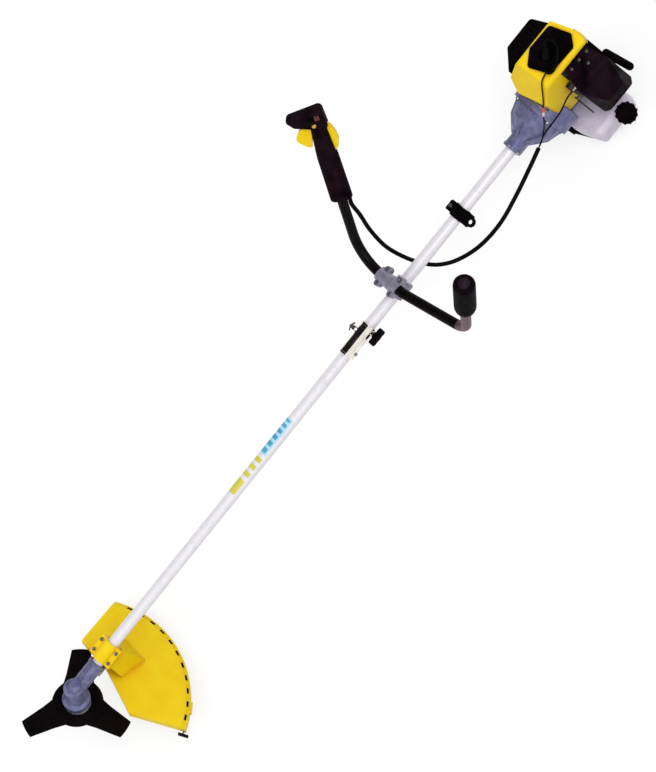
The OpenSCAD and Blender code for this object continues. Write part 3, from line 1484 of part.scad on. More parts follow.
module tank_form(inset) {
  low = [tank_from + inset, tank_left + inset, tank_low + inset];
  high = [tank_to - inset, tank_right - inset, tank_top - inset];
  intersection() {
    translate([0, 0, low[2]]) linear_extrude(height = high[2] - low[2])
      polygon(rounded_points(shrunk(tank_plan, inset), tank_round + 3 - inset));
    translate([low[0], 0, 0]) rotate([90, 0, 90]) linear_extrude(height = high[0] - low[0])
      rounded([low[1], low[2]], [high[1], high[2]], tank_round - inset);
    translate([0, high[1], 0]) rotate([90, 0, 0]) linear_extrude(height = high[1] - low[1])
      rounded([low[0], low[2]], [high[0], high[2]], tank_round - 3 - inset);
  }
}

module fuel_tank() {
  color("whitesmoke") engine() difference() {
    union() {
      tank_form(0);
      aim(neck_base, neck_dir, [1, 0, 0]) cylinder(h = neck_len, r = neck_r);
    }
    tank_form(tank_wall);
    aim(neck_base, neck_dir, [1, 0, 0]) translate([0, 0, -6]) cylinder(h = neck_len + 10, r = neck_r - 3);
  }
}

module fuel_cap() {
  rib_n = 12;
  color([0.06, 0.06, 0.06]) engine() aim(neck_base + (neck_len + gap) * neck_dir, neck_dir, [1, 0,
    0]) union() {
    translate([0, 0, -8]) cylinder(h = 9, r = neck_r - 3 - gap);
    cylinder(h = cap_h - 3, r = cap_r - 2);
    translate([0, 0, cap_h - 3]) cylinder(h = 3, r1 = cap_r - 2, r2 = cap_r - 6);
    for (i = [0:rib_n - 1]) rotate(360 * i / rib_n) translate([cap_r - 3, 0, 0]) cylinder(h = cap_h - 4,
      r = 3);
  }
}

// Stand under the tank: a tray with an upturned front, hung from the castings
module stand_frame() {
  translate([stand_x, 0, -stand_drop]) rotate([0, -floor_tilt, 0]) children();
}

module tank_stand() {
  half = [stand_len / 2, stand_w / 2];
  color([0.07, 0.07, 0.07]) difference() {
    union() {
      stand_frame() linear_extrude(height = stand_t) difference() {
        polygon([[-half[0], 25], [18 - half[0], half[1]], half, [half[0], -half[1]], [18 - half[0], -half[1]],
          [-half[0], -25]]);
        for (x = [-23, 23]) translate([x - 12, -44]) square([24, 88]);
      }
      stand_frame() box([-half[0], -25, 0], [stand_t - half[0], 25, 14]);
      engine() box([clutch_len + 2, -30, -stand_drop + 4], [clutch_len + 2 + stand_t, 30, -40]);
      engine() box([tank_to + 2, -30, -stand_drop + 5], [tank_to + 2 + stand_t, 30, -40]);
      for (side = [-1, 1]) engine() box([clutch_len + 3, side * 24 - 6, -stand_drop + 2],
        [tank_to + 1 + stand_t, side * 24 + 6, tank_low - 0.2]);
    }
    engine() rod_x(0, core_end, fan_r + 0.2);
    engine() rod_x(core_end - 1, beyond, starter_r + 0.2);
    stand_frame() box([-beyond, -beyond, -50], [beyond, beyond, 0]);
  }
}

laid() blade();
laid() upper_flange();
laid() lower_flange();
laid() blade_nut();
laid() output_shaft();
laid() crown_gear();
laid() pinion_gear();
laid() head_bearings();
laid() gear_case();
laid() head_bolts();
laid() guard();
laid() guard_skirt();
laid() guard_clamp();
laid() lower_tube();
laid() lower_drive_shaft();
laid() lower_bushes();
laid() upper_tube();
laid() upper_drive_shaft();
laid() upper_bushes();
laid() coupler_sleeve();
laid() coupler_knob();
laid() coupler_latch();
laid() bracket_body();
laid() bracket_cap();
laid() frame_bolts();
laid() handlebar();
laid() left_grip();
laid() throttle_housing_left();
laid() throttle_housing_right();
laid() throttle_trigger();
laid() lockout_lever();
laid() stop_switch();
laid() throttle_lock_button();
laid() throttle_cable();
laid() harness_clamp();
laid() clutch_housing();
laid() clutch_drum();
laid() clutch_shoes();
laid() flywheel();
laid() crankshaft();
laid() engine_bearings();
laid() crankcase();
laid() engine_cylinder();
laid() cylinder_cover();
laid() plug_cover();
laid() plug_boot();
laid() muffler();
laid() muffler_cover();
laid() carburettor();
laid() carb_lever();
laid() primer_bulb();
laid() air_filter_base();
laid() air_filter_cover();
laid() choke_lever();
laid() starter_housing();
laid() starter_pulley();
laid() starter_handle();
laid() fuel_tank();
laid() fuel_cap();
laid() tank_stand();
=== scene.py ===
"""Looks of the brush cutter: camera, light, cords, small trim and the finish of every surface."""
import json
import math

import bmesh
import bpy
from mathutils import Matrix, Vector


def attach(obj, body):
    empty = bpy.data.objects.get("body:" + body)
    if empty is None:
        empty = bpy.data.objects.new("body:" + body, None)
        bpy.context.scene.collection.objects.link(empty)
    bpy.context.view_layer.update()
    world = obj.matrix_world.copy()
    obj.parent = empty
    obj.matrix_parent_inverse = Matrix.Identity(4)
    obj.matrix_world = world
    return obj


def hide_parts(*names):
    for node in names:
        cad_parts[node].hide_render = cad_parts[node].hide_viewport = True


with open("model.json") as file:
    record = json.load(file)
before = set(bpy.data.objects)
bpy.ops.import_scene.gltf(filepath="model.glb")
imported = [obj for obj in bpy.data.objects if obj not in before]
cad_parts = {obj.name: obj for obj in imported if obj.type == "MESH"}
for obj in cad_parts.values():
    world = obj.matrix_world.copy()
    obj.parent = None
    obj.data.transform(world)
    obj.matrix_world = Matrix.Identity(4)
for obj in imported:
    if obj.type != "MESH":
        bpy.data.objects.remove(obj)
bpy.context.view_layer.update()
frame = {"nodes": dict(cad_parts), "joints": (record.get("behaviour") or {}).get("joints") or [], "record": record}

MM = 0.001

# The machine's own frame, in millimetres: x along the shaft from the gear head, y across, z up.
# Its axis is the drive shaft's. TRAY_POINT, the middle of the tray's bottom, is the part's origin.
TRAY_POINT = Vector((1660.0, 0.0, -147.0))
TUBE_R = 13.0
JOINT_AXES = {joint["name"]: Vector(joint["axis"]) for joint in frame["joints"]}
SHAFT_DIR = JOINT_AXES["upper_drive_spin"].normalized()
SIDE_DIR = Vector((0, 1, 0))
SHAFT_UP = SHAFT_DIR.cross(SIDE_DIR).normalized()


def at(x, y, z):
    """A point of the machine's frame, in millimetres, as a point of the part, in metres."""
    offset = Vector((x, y, z)) - TRAY_POINT
    return (SHAFT_DIR * offset.x + SIDE_DIR * offset.y + SHAFT_UP * offset.z) * MM


def towards(x, y, z):
    """A direction of the machine's frame."""
    return (SHAFT_DIR * x + SIDE_DIR * y + SHAFT_UP * z).normalized()


# Camera at the photograph's angle, for a picture of 656 by 772 pixels

VIEW_AZIMUTH = math.radians(-62.287)
VIEW_ELEVATION = math.radians(64.281)
VIEW_ROLL = math.radians(-77.107)
VIEW_DISTANCE = 5.0
VIEW_MIDDLE = Vector((-0.7854, -0.0027, 0.1456))
SENSOR = 36.0
LENS = 110.3


def make_camera():
    """Sets the camera and returns the direction from the part to it."""
    out = Vector((
        math.cos(VIEW_ELEVATION) * math.cos(VIEW_AZIMUTH),
        math.cos(VIEW_ELEVATION) * math.sin(VIEW_AZIMUTH),
        math.sin(VIEW_ELEVATION),
    ))
    level_right = Vector((-math.sin(VIEW_AZIMUTH), math.cos(VIEW_AZIMUTH), 0))
    level_up = out.cross(level_right)
    right = level_right * math.cos(VIEW_ROLL) + level_up * math.sin(VIEW_ROLL)
    up = out.cross(right)
    data = bpy.data.cameras.new("camera")
    data.sensor_width = SENSOR
    data.lens = LENS
    camera = bpy.data.objects.new("camera", data)
    bpy.context.scene.collection.objects.link(camera)
    turn = Matrix((right, up, out)).transposed().to_4x4()
    camera.matrix_world = Matrix.Translation(VIEW_MIDDLE + out * VIEW_DISTANCE) @ turn
    bpy.context.scene.camera = camera
    return out


TO_CAMERA = make_camera()


# Finishes

BEVEL_SAMPLES = 4
HOLLOW_SAMPLES = 6
EDGE_RANGE = (0.97, 0.75)
HOLLOW_RANGE = (0.85, 0.35)
GLOSS_RANGE = (0.3, 0.7)
EVEN = (1, 1, 1)


def srgb(red, green, blue):
    """A colour given as 0 to 255 screen values, as linear RGBA."""
    def linear(value):
        value /= 255
        return value / 12.92 if value <= 0.04045 else ((value + 0.055) / 1.055) ** 2.4
    return (linear(red), linear(green), linear(blue), 1.0)


class Finish:
    """A procedural material: one Principled shader, its textures laid out in the part's metres."""

    def __init__(self, name, **constants):
        self.material = bpy.data.materials.new(name)
        self.material.use_nodes = True
        self.tree = self.material.node_tree
        self.shader = self.tree.nodes["Principled BSDF"]
        self.coordinates = self.add("ShaderNodeTexCoord").outputs["Object"]
        self.relief = None
        for socket, value in constants.items():
            self.shader.inputs[socket.replace("_", " ")].default_value = value

    def add(self, kind, **settings):
        node = self.tree.nodes.new(kind)
        for name, value in settings.items():
            setattr(node, name, value)
        return node

    def link(self, output, socket):
        self.tree.links.new(output, socket)

    def texture(self, kind, lengths):
        """A texture whose features are about lengths metres across, along each axis."""
        mapping = self.add("ShaderNodeMapping")
        mapping.inputs["Scale"].default_value = [1 / length for length in lengths]
        self.link(self.coordinates, mapping.inputs["Vector"])
        node = self.add(kind)
        node.inputs["Scale"].default_value = 1.0
        self.link(mapping.outputs["Vector"], node.inputs["Vector"])
        return node

    def noise(self, size, detail=3.0, stretch=EVEN):
        """Noise with features about size millimetres across, longer along a stretched axis."""
        node = self.texture("ShaderNodeTexNoise", [size * MM * share for share in stretch])
        node.inputs["Detail"].default_value = detail
        return node.outputs["Fac"]

    def cells(self, size):
        """Distance to the middle of cells about size millimetres across."""
        return self.texture("ShaderNodeTexVoronoi", [size * MM] * 3).outputs["Distance"]

    def spread(self, value, low, high, out_low=0.0, out_high=1.0):
        """Value carried from the range low to high into the range out_low to out_high."""
        node = self.add("ShaderNodeMapRange")
        for socket, number in zip(list(node.inputs)[1:5], (low, high, out_low, out_high)):
            socket.default_value = number
        self.link(value, node.inputs["Value"])
        return node.outputs["Result"]

    def patches(self, size, low, high, detail=3.0, stretch=EVEN):
        """Noise as a mask: 0 where it is under low, 1 where it is over high."""
        return self.spread(self.noise(size, detail, stretch), low, high)

    def bevelled(self, radius):
        """The normal of a surface whose sharp edges are rounded by radius millimetres."""
        node = self.add("ShaderNodeBevel", samples=BEVEL_SAMPLES)
        node.inputs["Radius"].default_value = radius * MM
        return node.outputs["Normal"]

    def edges(self, radius):
        """1 along sharp edges, falling to 0 about radius millimetres from them."""
        geometry = self.add("ShaderNodeNewGeometry")
        product = self.add("ShaderNodeVectorMath", operation="DOT_PRODUCT")
        self.link(self.bevelled(radius), product.inputs[0])
        self.link(geometry.outputs["Normal"], product.inputs[1])
        return self.spread(product.outputs["Value"], *EDGE_RANGE)

    def hollows(self, reach):
        """1 in corners and gaps about reach millimetres deep, 0 on open faces."""
        node = self.add("ShaderNodeAmbientOcclusion", samples=HOLLOW_SAMPLES)
        node.inputs["Distance"].default_value = reach * MM
        return self.spread(node.outputs["AO"], *HOLLOW_RANGE)

    def times(self, first, second):
        node = self.add("ShaderNodeMath", operation="MULTIPLY")
        self.link(first, node.inputs[0])
        self.link(second, node.inputs[1])
        return node.outputs["Value"]

    def between(self, mask, first, second):
        """A colour from first to second with the mask; each is a screen colour or an output."""
        node = self.add("ShaderNodeMix", data_type="RGBA")
        self.link(mask, node.inputs["Factor"])
        sockets = [s for s in node.inputs if s.type == "RGBA"]
        for socket, colour in zip(sockets, (first, second)):
            if isinstance(colour, tuple):
                socket.default_value = srgb(*colour)
            else:
                self.link(colour, socket)
        return [s for s in node.outputs if s.type == "RGBA"][0]

    def paint(self, colour):
        self.link(colour, self.shader.inputs["Base Color"])

    def gloss(self, mask, low, high):
        """Roughness from low to high with the mask."""
        self.link(self.spread(mask, *GLOSS_RANGE, low, high), self.shader.inputs["Roughness"])

    def round_edges(self, radius):
        """Shades sharp edges as if rounded by radius millimetres."""
        self.relief = self.bevelled(radius)
        self.link(self.relief, self.shader.inputs["Normal"])

    def bump(self, height, depth, strength):
        """Relief of depth millimetres from a height texture, over any relief before it."""
        node = self.add("ShaderNodeBump")
        node.inputs["Distance"].default_value = depth * MM
        node.inputs["Strength"].default_value = strength
        self.link(height, node.inputs["Height"])
        if self.relief:
            self.link(self.relief, node.inputs["Normal"])
        self.relief = node.outputs["Normal"]
        self.link(self.relief, self.shader.inputs["Normal"])


def moulded(name, colour, deep, worn, rough, corners=None, shine=None):
    """Moulded plastic: eroded grain, uneven colour, pale rubbed edges, and painted shade in its corners."""
    finish = Finish(name, **(shine or {}))
    body = finish.between(finish.patches(size=38, low=0.35, high=0.65), deep, colour)
    # Painted shade: in corners and gaps the body turns, in patches, to the corners colour, as if shaded.
    if corners:
        painted_shade_mask = finish.times(finish.hollows(reach=26), finish.patches(size=20, low=0.1, high=0.5))
        body = finish.between(painted_shade_mask, body, corners)
    rubbed = finish.times(finish.edges(radius=1.2), finish.patches(size=6, low=0.45, high=0.7))
    finish.paint(finish.between(rubbed, body, worn))
    finish.gloss(finish.noise(size=9, detail=5), low=rough - 0.06, high=rough + 0.08)
    finish.round_edges(radius=0.8)
    finish.bump(finish.noise(size=0.9, detail=2), depth=0.05, strength=0.25)
    finish.bump(finish.noise(size=30, detail=1), depth=0.5, strength=0.12)
    return finish.material


def cast(name, colour, deep, worn, rough, metallic):
    """Die-cast alloy: fine grain, grey bloom, darker hollows and bright edges."""
    finish = Finish(name, Metallic=metallic)
    body = finish.between(finish.patches(size=14, low=0.35, high=0.7, detail=5), deep, colour)
    # Darker towards the deep colour in hollows and gaps, in patches.
    hollow_darkening = finish.times(finish.hollows(reach=9), finish.noise(size=7))
    darkened_hollows = finish.between(hollow_darkening, body, deep)
    rubbed = finish.times(finish.edges(radius=1.0), finish.patches(size=4, low=0.4, high=0.65))
    finish.paint(finish.between(rubbed, darkened_hollows, worn))
    finish.gloss(finish.noise(size=5, detail=5), low=rough - 0.08, high=rough + 0.1)
    finish.round_edges(radius=0.9)
    finish.bump(finish.noise(size=1.1, detail=3), depth=0.12, strength=0.35)
    finish.bump(finish.cells(size=2.4), depth=0.06, strength=0.2)
    return finish.material


def machined(name, colour, deep, rough):
    """Turned or ground metal: fine tool marks, a little tarnish."""
    finish = Finish(name, Metallic=1.0)
    tarnish = finish.patches(size=11, low=0.35, high=0.7, detail=4)
    finish.paint(finish.between(tarnish, colour, deep))
    finish.gloss(finish.noise(size=1.4, detail=4), low=rough - 0.08, high=rough + 0.12)
    finish.round_edges(radius=0.5)
    finish.bump(finish.noise(size=0.5, detail=2), depth=0.02, strength=0.4)
    return finish.material


def painted(name, colour, deep, worn, rough, chips=0.62):
    """Enamelled metal: orange peel, uneven gloss and chips on the edges."""
    finish = Finish(name, Coat_Weight=0.02, Coat_Roughness=0.2, Specular_IOR_Level=0.05)
    body = finish.between(finish.patches(size=30, low=0.35, high=0.65), deep, colour)
    flaked = finish.patches(size=3.5, low=chips, high=chips + 0.1)
    chipped = finish.times(finish.edges(radius=0.8), flaked)
    finish.paint(finish.between(chipped, body, worn))
    finish.gloss(finish.noise(size=6, detail=6), low=rough - 0.06, high=rough + 0.1)
    finish.round_edges(radius=0.6)
    finish.bump(finish.noise(size=3, detail=1), depth=0.08, strength=0.18)
    return finish.material


def rubber(name, colour, dusty, rough):
    """Rubber: matt, fine grained, dusty in patches."""
    finish = Finish(name, Specular_IOR_Level=0.014)
    dust = finish.patches(size=12, low=0.45, high=0.75, detail=5)
    finish.paint(finish.between(dust, colour, dusty))
    finish.gloss(finish.noise(size=4, detail=4), low=rough - 0.06, high=rough + 0.1)
    finish.bump(finish.noise(size=0.7, detail=2), depth=0.08, strength=0.3)
    return finish.material


def drawn_tube(name):
    """Satin drawn aluminium: long fine die lines and a few handling marks."""
    finish = Finish(name, Metallic=0.17, Specular_IOR_Level=0.35)
    lines = finish.noise(size=0.5, detail=3, stretch=(120, 1, 1))
    marks = finish.patches(size=16, low=0.6, high=0.76, detail=6)
    lined = finish.spread(lines, low=0.35, high=0.65)
    body = finish.between(lined, (230, 226, 233), (243, 240, 245))
    finish.paint(finish.between(marks, body, (220, 216, 224)))
    finish.gloss(lines, low=0.34, high=0.46)
    finish.bump(lines, depth=0.02, strength=0.3)
    return finish.material


def chrome(name):
    """Chromed steel with faint smears."""
    finish = Finish(name, Metallic=1.0)
    smear = finish.patches(size=10, low=0.45, high=0.7, detail=6, stretch=(3, 1, 1))
    finish.paint(finish.between(smear, (238, 232, 222), (206, 200, 192)))
    finish.gloss(smear, low=0.08, high=0.2)
    finish.round_edges(radius=0.6)
    finish.bump(finish.noise(size=1.2, detail=2, stretch=(10, 1, 1)), depth=0.01, strength=0.2)
    return finish.material


def blown_tank(name):
    """Blown translucent polyethylene: milky, mottled, with a soft sheen."""
    finish = Finish(
        name, Subsurface_Weight=0.35, Subsurface_Radius=(0.006, 0.006, 0.007),
        Subsurface_Scale=1.0, Coat_Weight=0.1, Coat_Roughness=0.3,
    )
    milk = finish.patches(size=24, low=0.35, high=0.7, detail=4)
    finish.paint(finish.between(milk, (228, 219, 236), (206, 197, 218)))
    finish.gloss(finish.noise(size=8, detail=4), low=0.36, high=0.5)
    finish.round_edges(radius=1.5)
    finish.bump(finish.noise(size=10, detail=3), depth=0.4, strength=0.15)
    finish.bump(finish.noise(size=1.2, detail=2), depth=0.05, strength=0.25)
    return finish.material


WAXY = dict(Specular_IOR_Level=0.14)
SMOKY = dict(Specular_IOR_Level=0.012, Specular_Tint=(0.62, 0.44, 0.46, 1.0))
# Orange painted shade for the corners and gaps of the yellow plastic
YELLOW_PAINTED_SHADE = (206, 142, 22)
# Black finish of the sheets that stand for painted shade seen through the slots
SHADE_SHEET_BLACK = (painted, (20, 17, 17), (11, 9, 9), (60, 50, 46), 0.5)
# Each recipe with its colours, from 0 to 255, and then its roughness and the rest
RECIPES = {
    "blade_steel": (painted, (17, 11, 11), (7, 5, 6), (64, 42, 34), 0.42, 0.5),
    "steel": (machined, (206, 206, 212), (160, 159, 164), 0.3),
    "gear_steel": (machined, (122, 122, 128), (88, 86, 88), 0.36),
    "flange_steel": (machined, (168, 170, 184), (126, 127, 142), 0.28),
    "cast_alloy": (cast, (126, 124, 155), (86, 90, 134), (190, 186, 202), 0.44, 0.3),
    "bare_alloy": (cast, (190, 190, 200), (150, 150, 162), (222, 222, 228), 0.46, 0.5),
    "tube_alloy": (drawn_tube,),
    "bush_bronze": (machined, (186, 140, 78), (134, 96, 54), 0.36),
    "yellow_plastic": (
        moulded, (243, 209, 22), (239, 201, 16), (247, 224, 92), 0.38, YELLOW_PAINTED_SHADE, WAXY,
    ),
    "dark_plastic": (moulded, (33, 19, 27), (11, 6, 9), (52, 38, 42), 0.5, None, SMOKY),
    "black_plastic": (moulded, (14, 10, 13), (7, 5, 7), (44, 38, 42), 0.58, None, SMOKY),
    "chrome_sleeve": (chrome,),
    "bar_paint": (painted, (17, 11, 11), (8, 6, 6), (90, 74, 70), 0.34),
    "grip_rubber": (rubber, (13, 8, 13), (22, 16, 22), 0.5),
    "switch_red": (moulded, (108, 46, 42), (88, 36, 34), (150, 90, 84), 0.36),
    "button_brass": (machined, (214, 176, 92), (172, 132, 60), 0.3),
    "cable_rubber": (rubber, (12, 11, 12), (22, 20, 22), 0.42),
    "clutch_iron": (cast, (112, 108, 106), (84, 80, 80), (150, 146, 142), 0.55, 0.8),
    "muffler_steel": (machined, (128, 120, 114), (92, 78, 68), 0.44),
    "bulb_rubber": (rubber, (186, 70, 52), (160, 56, 42), 0.34),
    "choke_plastic": (moulded, (40, 36, 38), (28, 25, 27), (84, 78, 80), 0.4),
    "pulley_plastic": (moulded, (226, 224, 216), (214, 210, 200), (238, 237, 232), 0.4),
    "tank_plastic": (blown_tank,),
    # Finishes that differ from their slot's own
    "bracket_alloy": (cast, (154, 150, 168), (122, 119, 138), (206, 203, 212), 0.42, 0.3),
    "sooty_alloy": (cast, (86, 80, 84), (50, 45, 49), (124, 118, 120), 0.5, 0.3),
    "latch_steel": (machined, (78, 75, 76), (48, 45, 46), 0.4),
    "joint_plug": (moulded, (214, 96, 44), (196, 82, 36), (228, 140, 100), 0.36),
    "joint_socket": (moulded, (226, 222, 216), (210, 205, 198), (240, 238, 234), 0.36),
    "yellow_ink": (moulded, (216, 210, 84), (204, 196, 66), (228, 222, 130), 0.34),
    "blue_film": (moulded, (176, 224, 242), (162, 216, 238), (206, 236, 246), 0.34),
    "blue_ink": (moulded, (86, 170, 206), (70, 152, 192), (140, 200, 224), 0.34),
    "bare_bar": (cast, (112, 88, 94), (88, 68, 75), (146, 126, 128), 0.48, 0.3),
    "grip_disc": (rubber, (36, 25, 33), (50, 38, 46), 0.5),
    "muffler_shade_sheet": SHADE_SHEET_BLACK,
    "hood_shade_sheet": SHADE_SHEET_BLACK,
}
FINISHES = {name: recipe(name, *values) for name, (recipe, *values) in RECIPES.items()}
SLOT_OF_NODE = {part["node"]: part["material_slot"] for part in frame["record"]["subparts"]}
OTHER_FINISHES = {
    "bracket_body": "bracket_alloy", "bracket_cap": "bracket_alloy",
    "carburettor": "sooty_alloy", "engine_cylinder": "sooty_alloy",
    "coupler_latch": "latch_steel", "air_filter_cover": "dark_plastic",
    "throttle_housing_left": "dark_plastic", "throttle_housing_right": "dark_plastic",
}


def dress(piece, finish):
    """Gives a piece one finish in its only slot."""
    piece.data.materials.clear()
    piece.data.materials.append(FINISHES[finish])


for node_name, node in frame["nodes"].items():
    dress(node, OTHER_FINISHES.get(node_name, SLOT_OF_NODE[node_name]))


# Meshes

SMOOTH_ANGLE = math.radians(35)
STEEP = 0.9
TURNED_SIDES = 40
CORD_SIDES = 16


def add_piece(name, build, body, slot, finish=None):
    """A piece from a function that fills a bmesh, riding on a body; its finish is the slot's own
    unless another is named."""
    shape = bmesh.new()
    build(shape)
    bmesh.ops.recalc_face_normals(shape, faces=shape.faces)
    mesh = bpy.data.meshes.new(name)
    shape.to_mesh(mesh)
    shape.free()
    mesh.shade_smooth()
    mesh.set_sharp_from_angle(angle=SMOOTH_ANGLE)
    piece = bpy.data.objects.new(name, mesh)
    bpy.context.scene.collection.objects.link(piece)
    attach(piece, body)
    dress(piece, finish or slot)
    return piece


def loft(shape, rings):
    """Skins rings of equal point counts, each closed on itself, and caps both ends."""
    loops = [[shape.verts.new(point) for point in ring] for ring in rings]
    for lower, upper in zip(loops, loops[1:]):
        for i in range(len(lower)):
            j = (i + 1) % len(lower)
            shape.faces.new((lower[i], lower[j], upper[j], upper[i]))
    shape.faces.new(loops[0])
    shape.faces.new(loops[-1])


def frame_about(axis):
    """Two unit vectors square to a unit axis and to each other."""
    guide = Vector((0, 0, 1)) if abs(axis.z) < STEEP else Vector((1, 0, 0))
    across = guide.cross(axis).normalized()
    return across, axis.cross(across)


def circle(middle, across, beside, radius, sides):
    """Points of a circle of radius millimetres, in the plane of two unit vectors."""
    turns = [2 * math.pi * i / sides for i in range(sides)]
    return [
        middle + (across * math.cos(turn) + beside * math.sin(turn)) * radius * MM
        for turn in turns
    ]


def turned(start, axis, profile):
    """A turned form: profile holds (distance along the axis, radius) in millimetres."""
    axis = axis.normalized()
    plane = frame_about(axis)

    def build(shape):
        loft(shape, [circle(start + axis * d * MM, *plane, r, TURNED_SIDES) for d, r in profile])

    return build


def tube(points, radius, sides=CORD_SIDES):
    """A round tube along points, whose rings don't twist."""
    def build(shape):
        rings = []
        across = frame_about((points[1] - points[0]).normalized())[0]
        for i, point in enumerate(points):
            before, after = points[max(i - 1, 0)], points[min(i + 1, len(points) - 1)]
            axis = (after - before).normalized()
            across = (across - axis * across.dot(axis)).normalized()
            rings.append(circle(point, across, axis.cross(across), radius, sides))
        loft(shape, rings)

    return build


def turned_piece(name, start, axis, profile, slot, finish=None):
    return add_piece(name, turned(start, axis, profile), "base", slot, finish)


# Cords: the points of each route in the machine's frame, as in the solids

SHEATH_ROUTE = [
    (1223.6, 152.9, 148.5), (1212.2, 143.7, 132.1), (1204, 128, 104), (1190, 104, 70),
    (1181, 72, 30), (1186, 38, 0), (1198, 8, -24), (1218, -20, -37), (1252, -44, -44),
    (1304, -62, -46), (1366, -68, -40), (1430, -62, -28), (1496, -54, -8), (1538, -50, 10),
]
WIRE_ROUTE = [
    (1538, -50, 10), (1568, -48, 28), (1596, -54, 46), (1626, -60, 66), (1656, -64, 92.5),
    (1683.6, -66, 98.5),
]
STOP_ROUTE = [
    (1666.9, -20, 153.8), (1657, -22.5, 154), (1649, -25.5, 153.6), (1640, -29, 143.4),
    (1625, -34.5, 119.2), (1609.5, -37, 92.5),
]
STOP_TAIL = [
    (1597, -41, 74), (1582, -47, 55), (1563, -51.5, 35), (1548, -52.4, 21.5),
    (1538.9, -51.6, 13.9),
]
LEAD_ROUTE = [
    (1712.3, 17, 169.2), (1721, 13, 171), (1725, 0, 168), (1715, -15, 164), (1700, -26, 162),
    (1685, -32, 161.5), (1674, -32, 161.5), (1669.5, -24, 161), (1671.5, -16.5, 157.8),
    (1672.5, -14.5, 150),
]
SHEATH_R = 4.6
WIRE_R = 1.6
STOP_R = 1.3
LEAD_R = 2.8
STEPS_PER_POINT = 8

# Fittings on the cords: the stop wire's plug and socket, and the ferrule at the wire's end
JOINT_FROM, JOINT_TO = at(*STOP_ROUTE[-1]), at(*STOP_TAIL[0])
JOINT_HALF = (JOINT_TO - JOINT_FROM).length / MM / 2
PLUG_PROFILE = [
    (0, STOP_R), (0.4, 2.3), (2, 2.7), (JOINT_HALF - 2, 2.7), (JOINT_HALF - 1.4, 2.3),
    (JOINT_HALF, 2.3),
]
SOCKET_PROFILE = [
    (0, STOP_R), (0.4, 2.2), (3, 2.4), (3.5, 2.7), (JOINT_HALF - 1, 2.7), (JOINT_HALF, 2.5),
]
FERRULE_FROM, FERRULE_TO = at(1673.6, -65.2, 96.4), at(1683.4, -66, 98.5)
FERRULE_PROFILE = [
    (0, WIRE_R), (0.5, 2.9), (3, 2.9), (3.4, 2.4), (6.6, 2.4), (7, 3.1), (9.4, 3.1), (10, 1.8),
]


def smooth_route(route):
    """Points along a smooth curve through a route's points."""
    points = [at(*point) for point in route]
    ends = [points[0] * 2 - points[1], *points, points[-1] * 2 - points[-2]]
    found = []
    for a, b, c, d in zip(ends, ends[1:], ends[2:], ends[3:]):
        for step in range(STEPS_PER_POINT):
            t = step / STEPS_PER_POINT
            found.append((
                b * 2 + (c - a) * t + (a * 2 - b * 5 + c * 4 - d) * t ** 2
                + (b * 3 - a - c * 3 + d) * t ** 3
            ) / 2)
    return [*found, points[-1]]


def make_cord(name, route, radius, replaced):
    """A round cord along a route from its first point."""
    points = smooth_route(route)
    piece = add_piece(name, tube(points, radius), "base", "cable_rubber")
    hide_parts(replaced)


joint_plug = turned_piece(
    "joint_plug", JOINT_FROM, JOINT_TO - JOINT_FROM, PLUG_PROFILE, "switch_red", "joint_plug",
)
joint_socket = turned_piece(
    "joint_socket", JOINT_TO, JOINT_FROM - JOINT_TO, SOCKET_PROFILE, "choke_plastic",
    "joint_socket",
)
ferrule = turned_piece(
    "wire_ferrule", FERRULE_FROM, FERRULE_TO - FERRULE_FROM, FERRULE_PROFILE, "steel",
)
make_cord("cable_sheath", SHEATH_ROUTE, SHEATH_R, "throttle_cable")
make_cord("cable_wire", WIRE_ROUTE, WIRE_R, "throttle_cable")
make_cord(
    "stop_wire", STOP_ROUTE, STOP_R, "throttle_cable",
)
make_cord("stop_tail", STOP_TAIL, STOP_R, "throttle_cable")
make_cord("plug_lead", LEAD_ROUTE, LEAD_R, "plug_boot")
for fitting in (joint_plug, joint_socket):
    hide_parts("throttle_cable")


# Rubber boot on the spark plug: an upright body with a rib, and a ribbed nose for the lead

BOOT_FOOT = (1692, 0, 118)
BOOT_DOME = (1692, 0, 154)
BOOT_NOSE = (0.663, 0.557, 0.5)
BOOT_BODY = [
    (0, 6.9), (14.2, 6.9), (14.4, 8.6), (15, 9), (18, 9), (18.6, 8.5), (20.4, 8.5), (21, 9),
    (36, 9), (40, 8.1), (43, 5.7), (44.6, 2.6), (45, 0.4),
]
BOOT_RIBS = [
    (0, 8), (16, 6.7), (17, 7.3), (18.6, 7.3), (19.4, 6.4), (21, 6.3), (22, 7), (23.6, 7),
    (24.4, 6), (30, 5),
]


def boot_form(shape):
    turned(at(*BOOT_FOOT), SHAFT_UP, BOOT_BODY)(shape)
    turned(at(*BOOT_DOME), towards(*BOOT_NOSE), BOOT_RIBS)(shape)


spark_boot = add_piece("spark_boot", boot_form, "base", "cable_rubber")
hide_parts("plug_boot")


# Plain bands of colour on the lower tube: their spans along the shaft, in millimetres, their span
# round it, in degrees, their height over the tube and their finish

BAND_STEPS = 30
BAND_GAP = 0.02
FILM_AROUND = (-30, 122)
BAND_AROUND = (-12, 104)
YELLOW_SPANS = [(566, 604), (614, 625), (634, 645), (654, 665)]
FILM_SPANS = [(674, 771)]
BLUE_SPANS = [(678, 690), (697, 708), (715, 725), (732, 741), (748, 756), (762, 768)]
BANDS = {
    "yellow_bands": (YELLOW_SPANS, FILM_AROUND, 0.12, "yellow_ink"),
    "blue_film": (FILM_SPANS, FILM_AROUND, 0.1, "blue_film"),
    "blue_bands": (BLUE_SPANS, BAND_AROUND, 0.18, "blue_ink"),
}


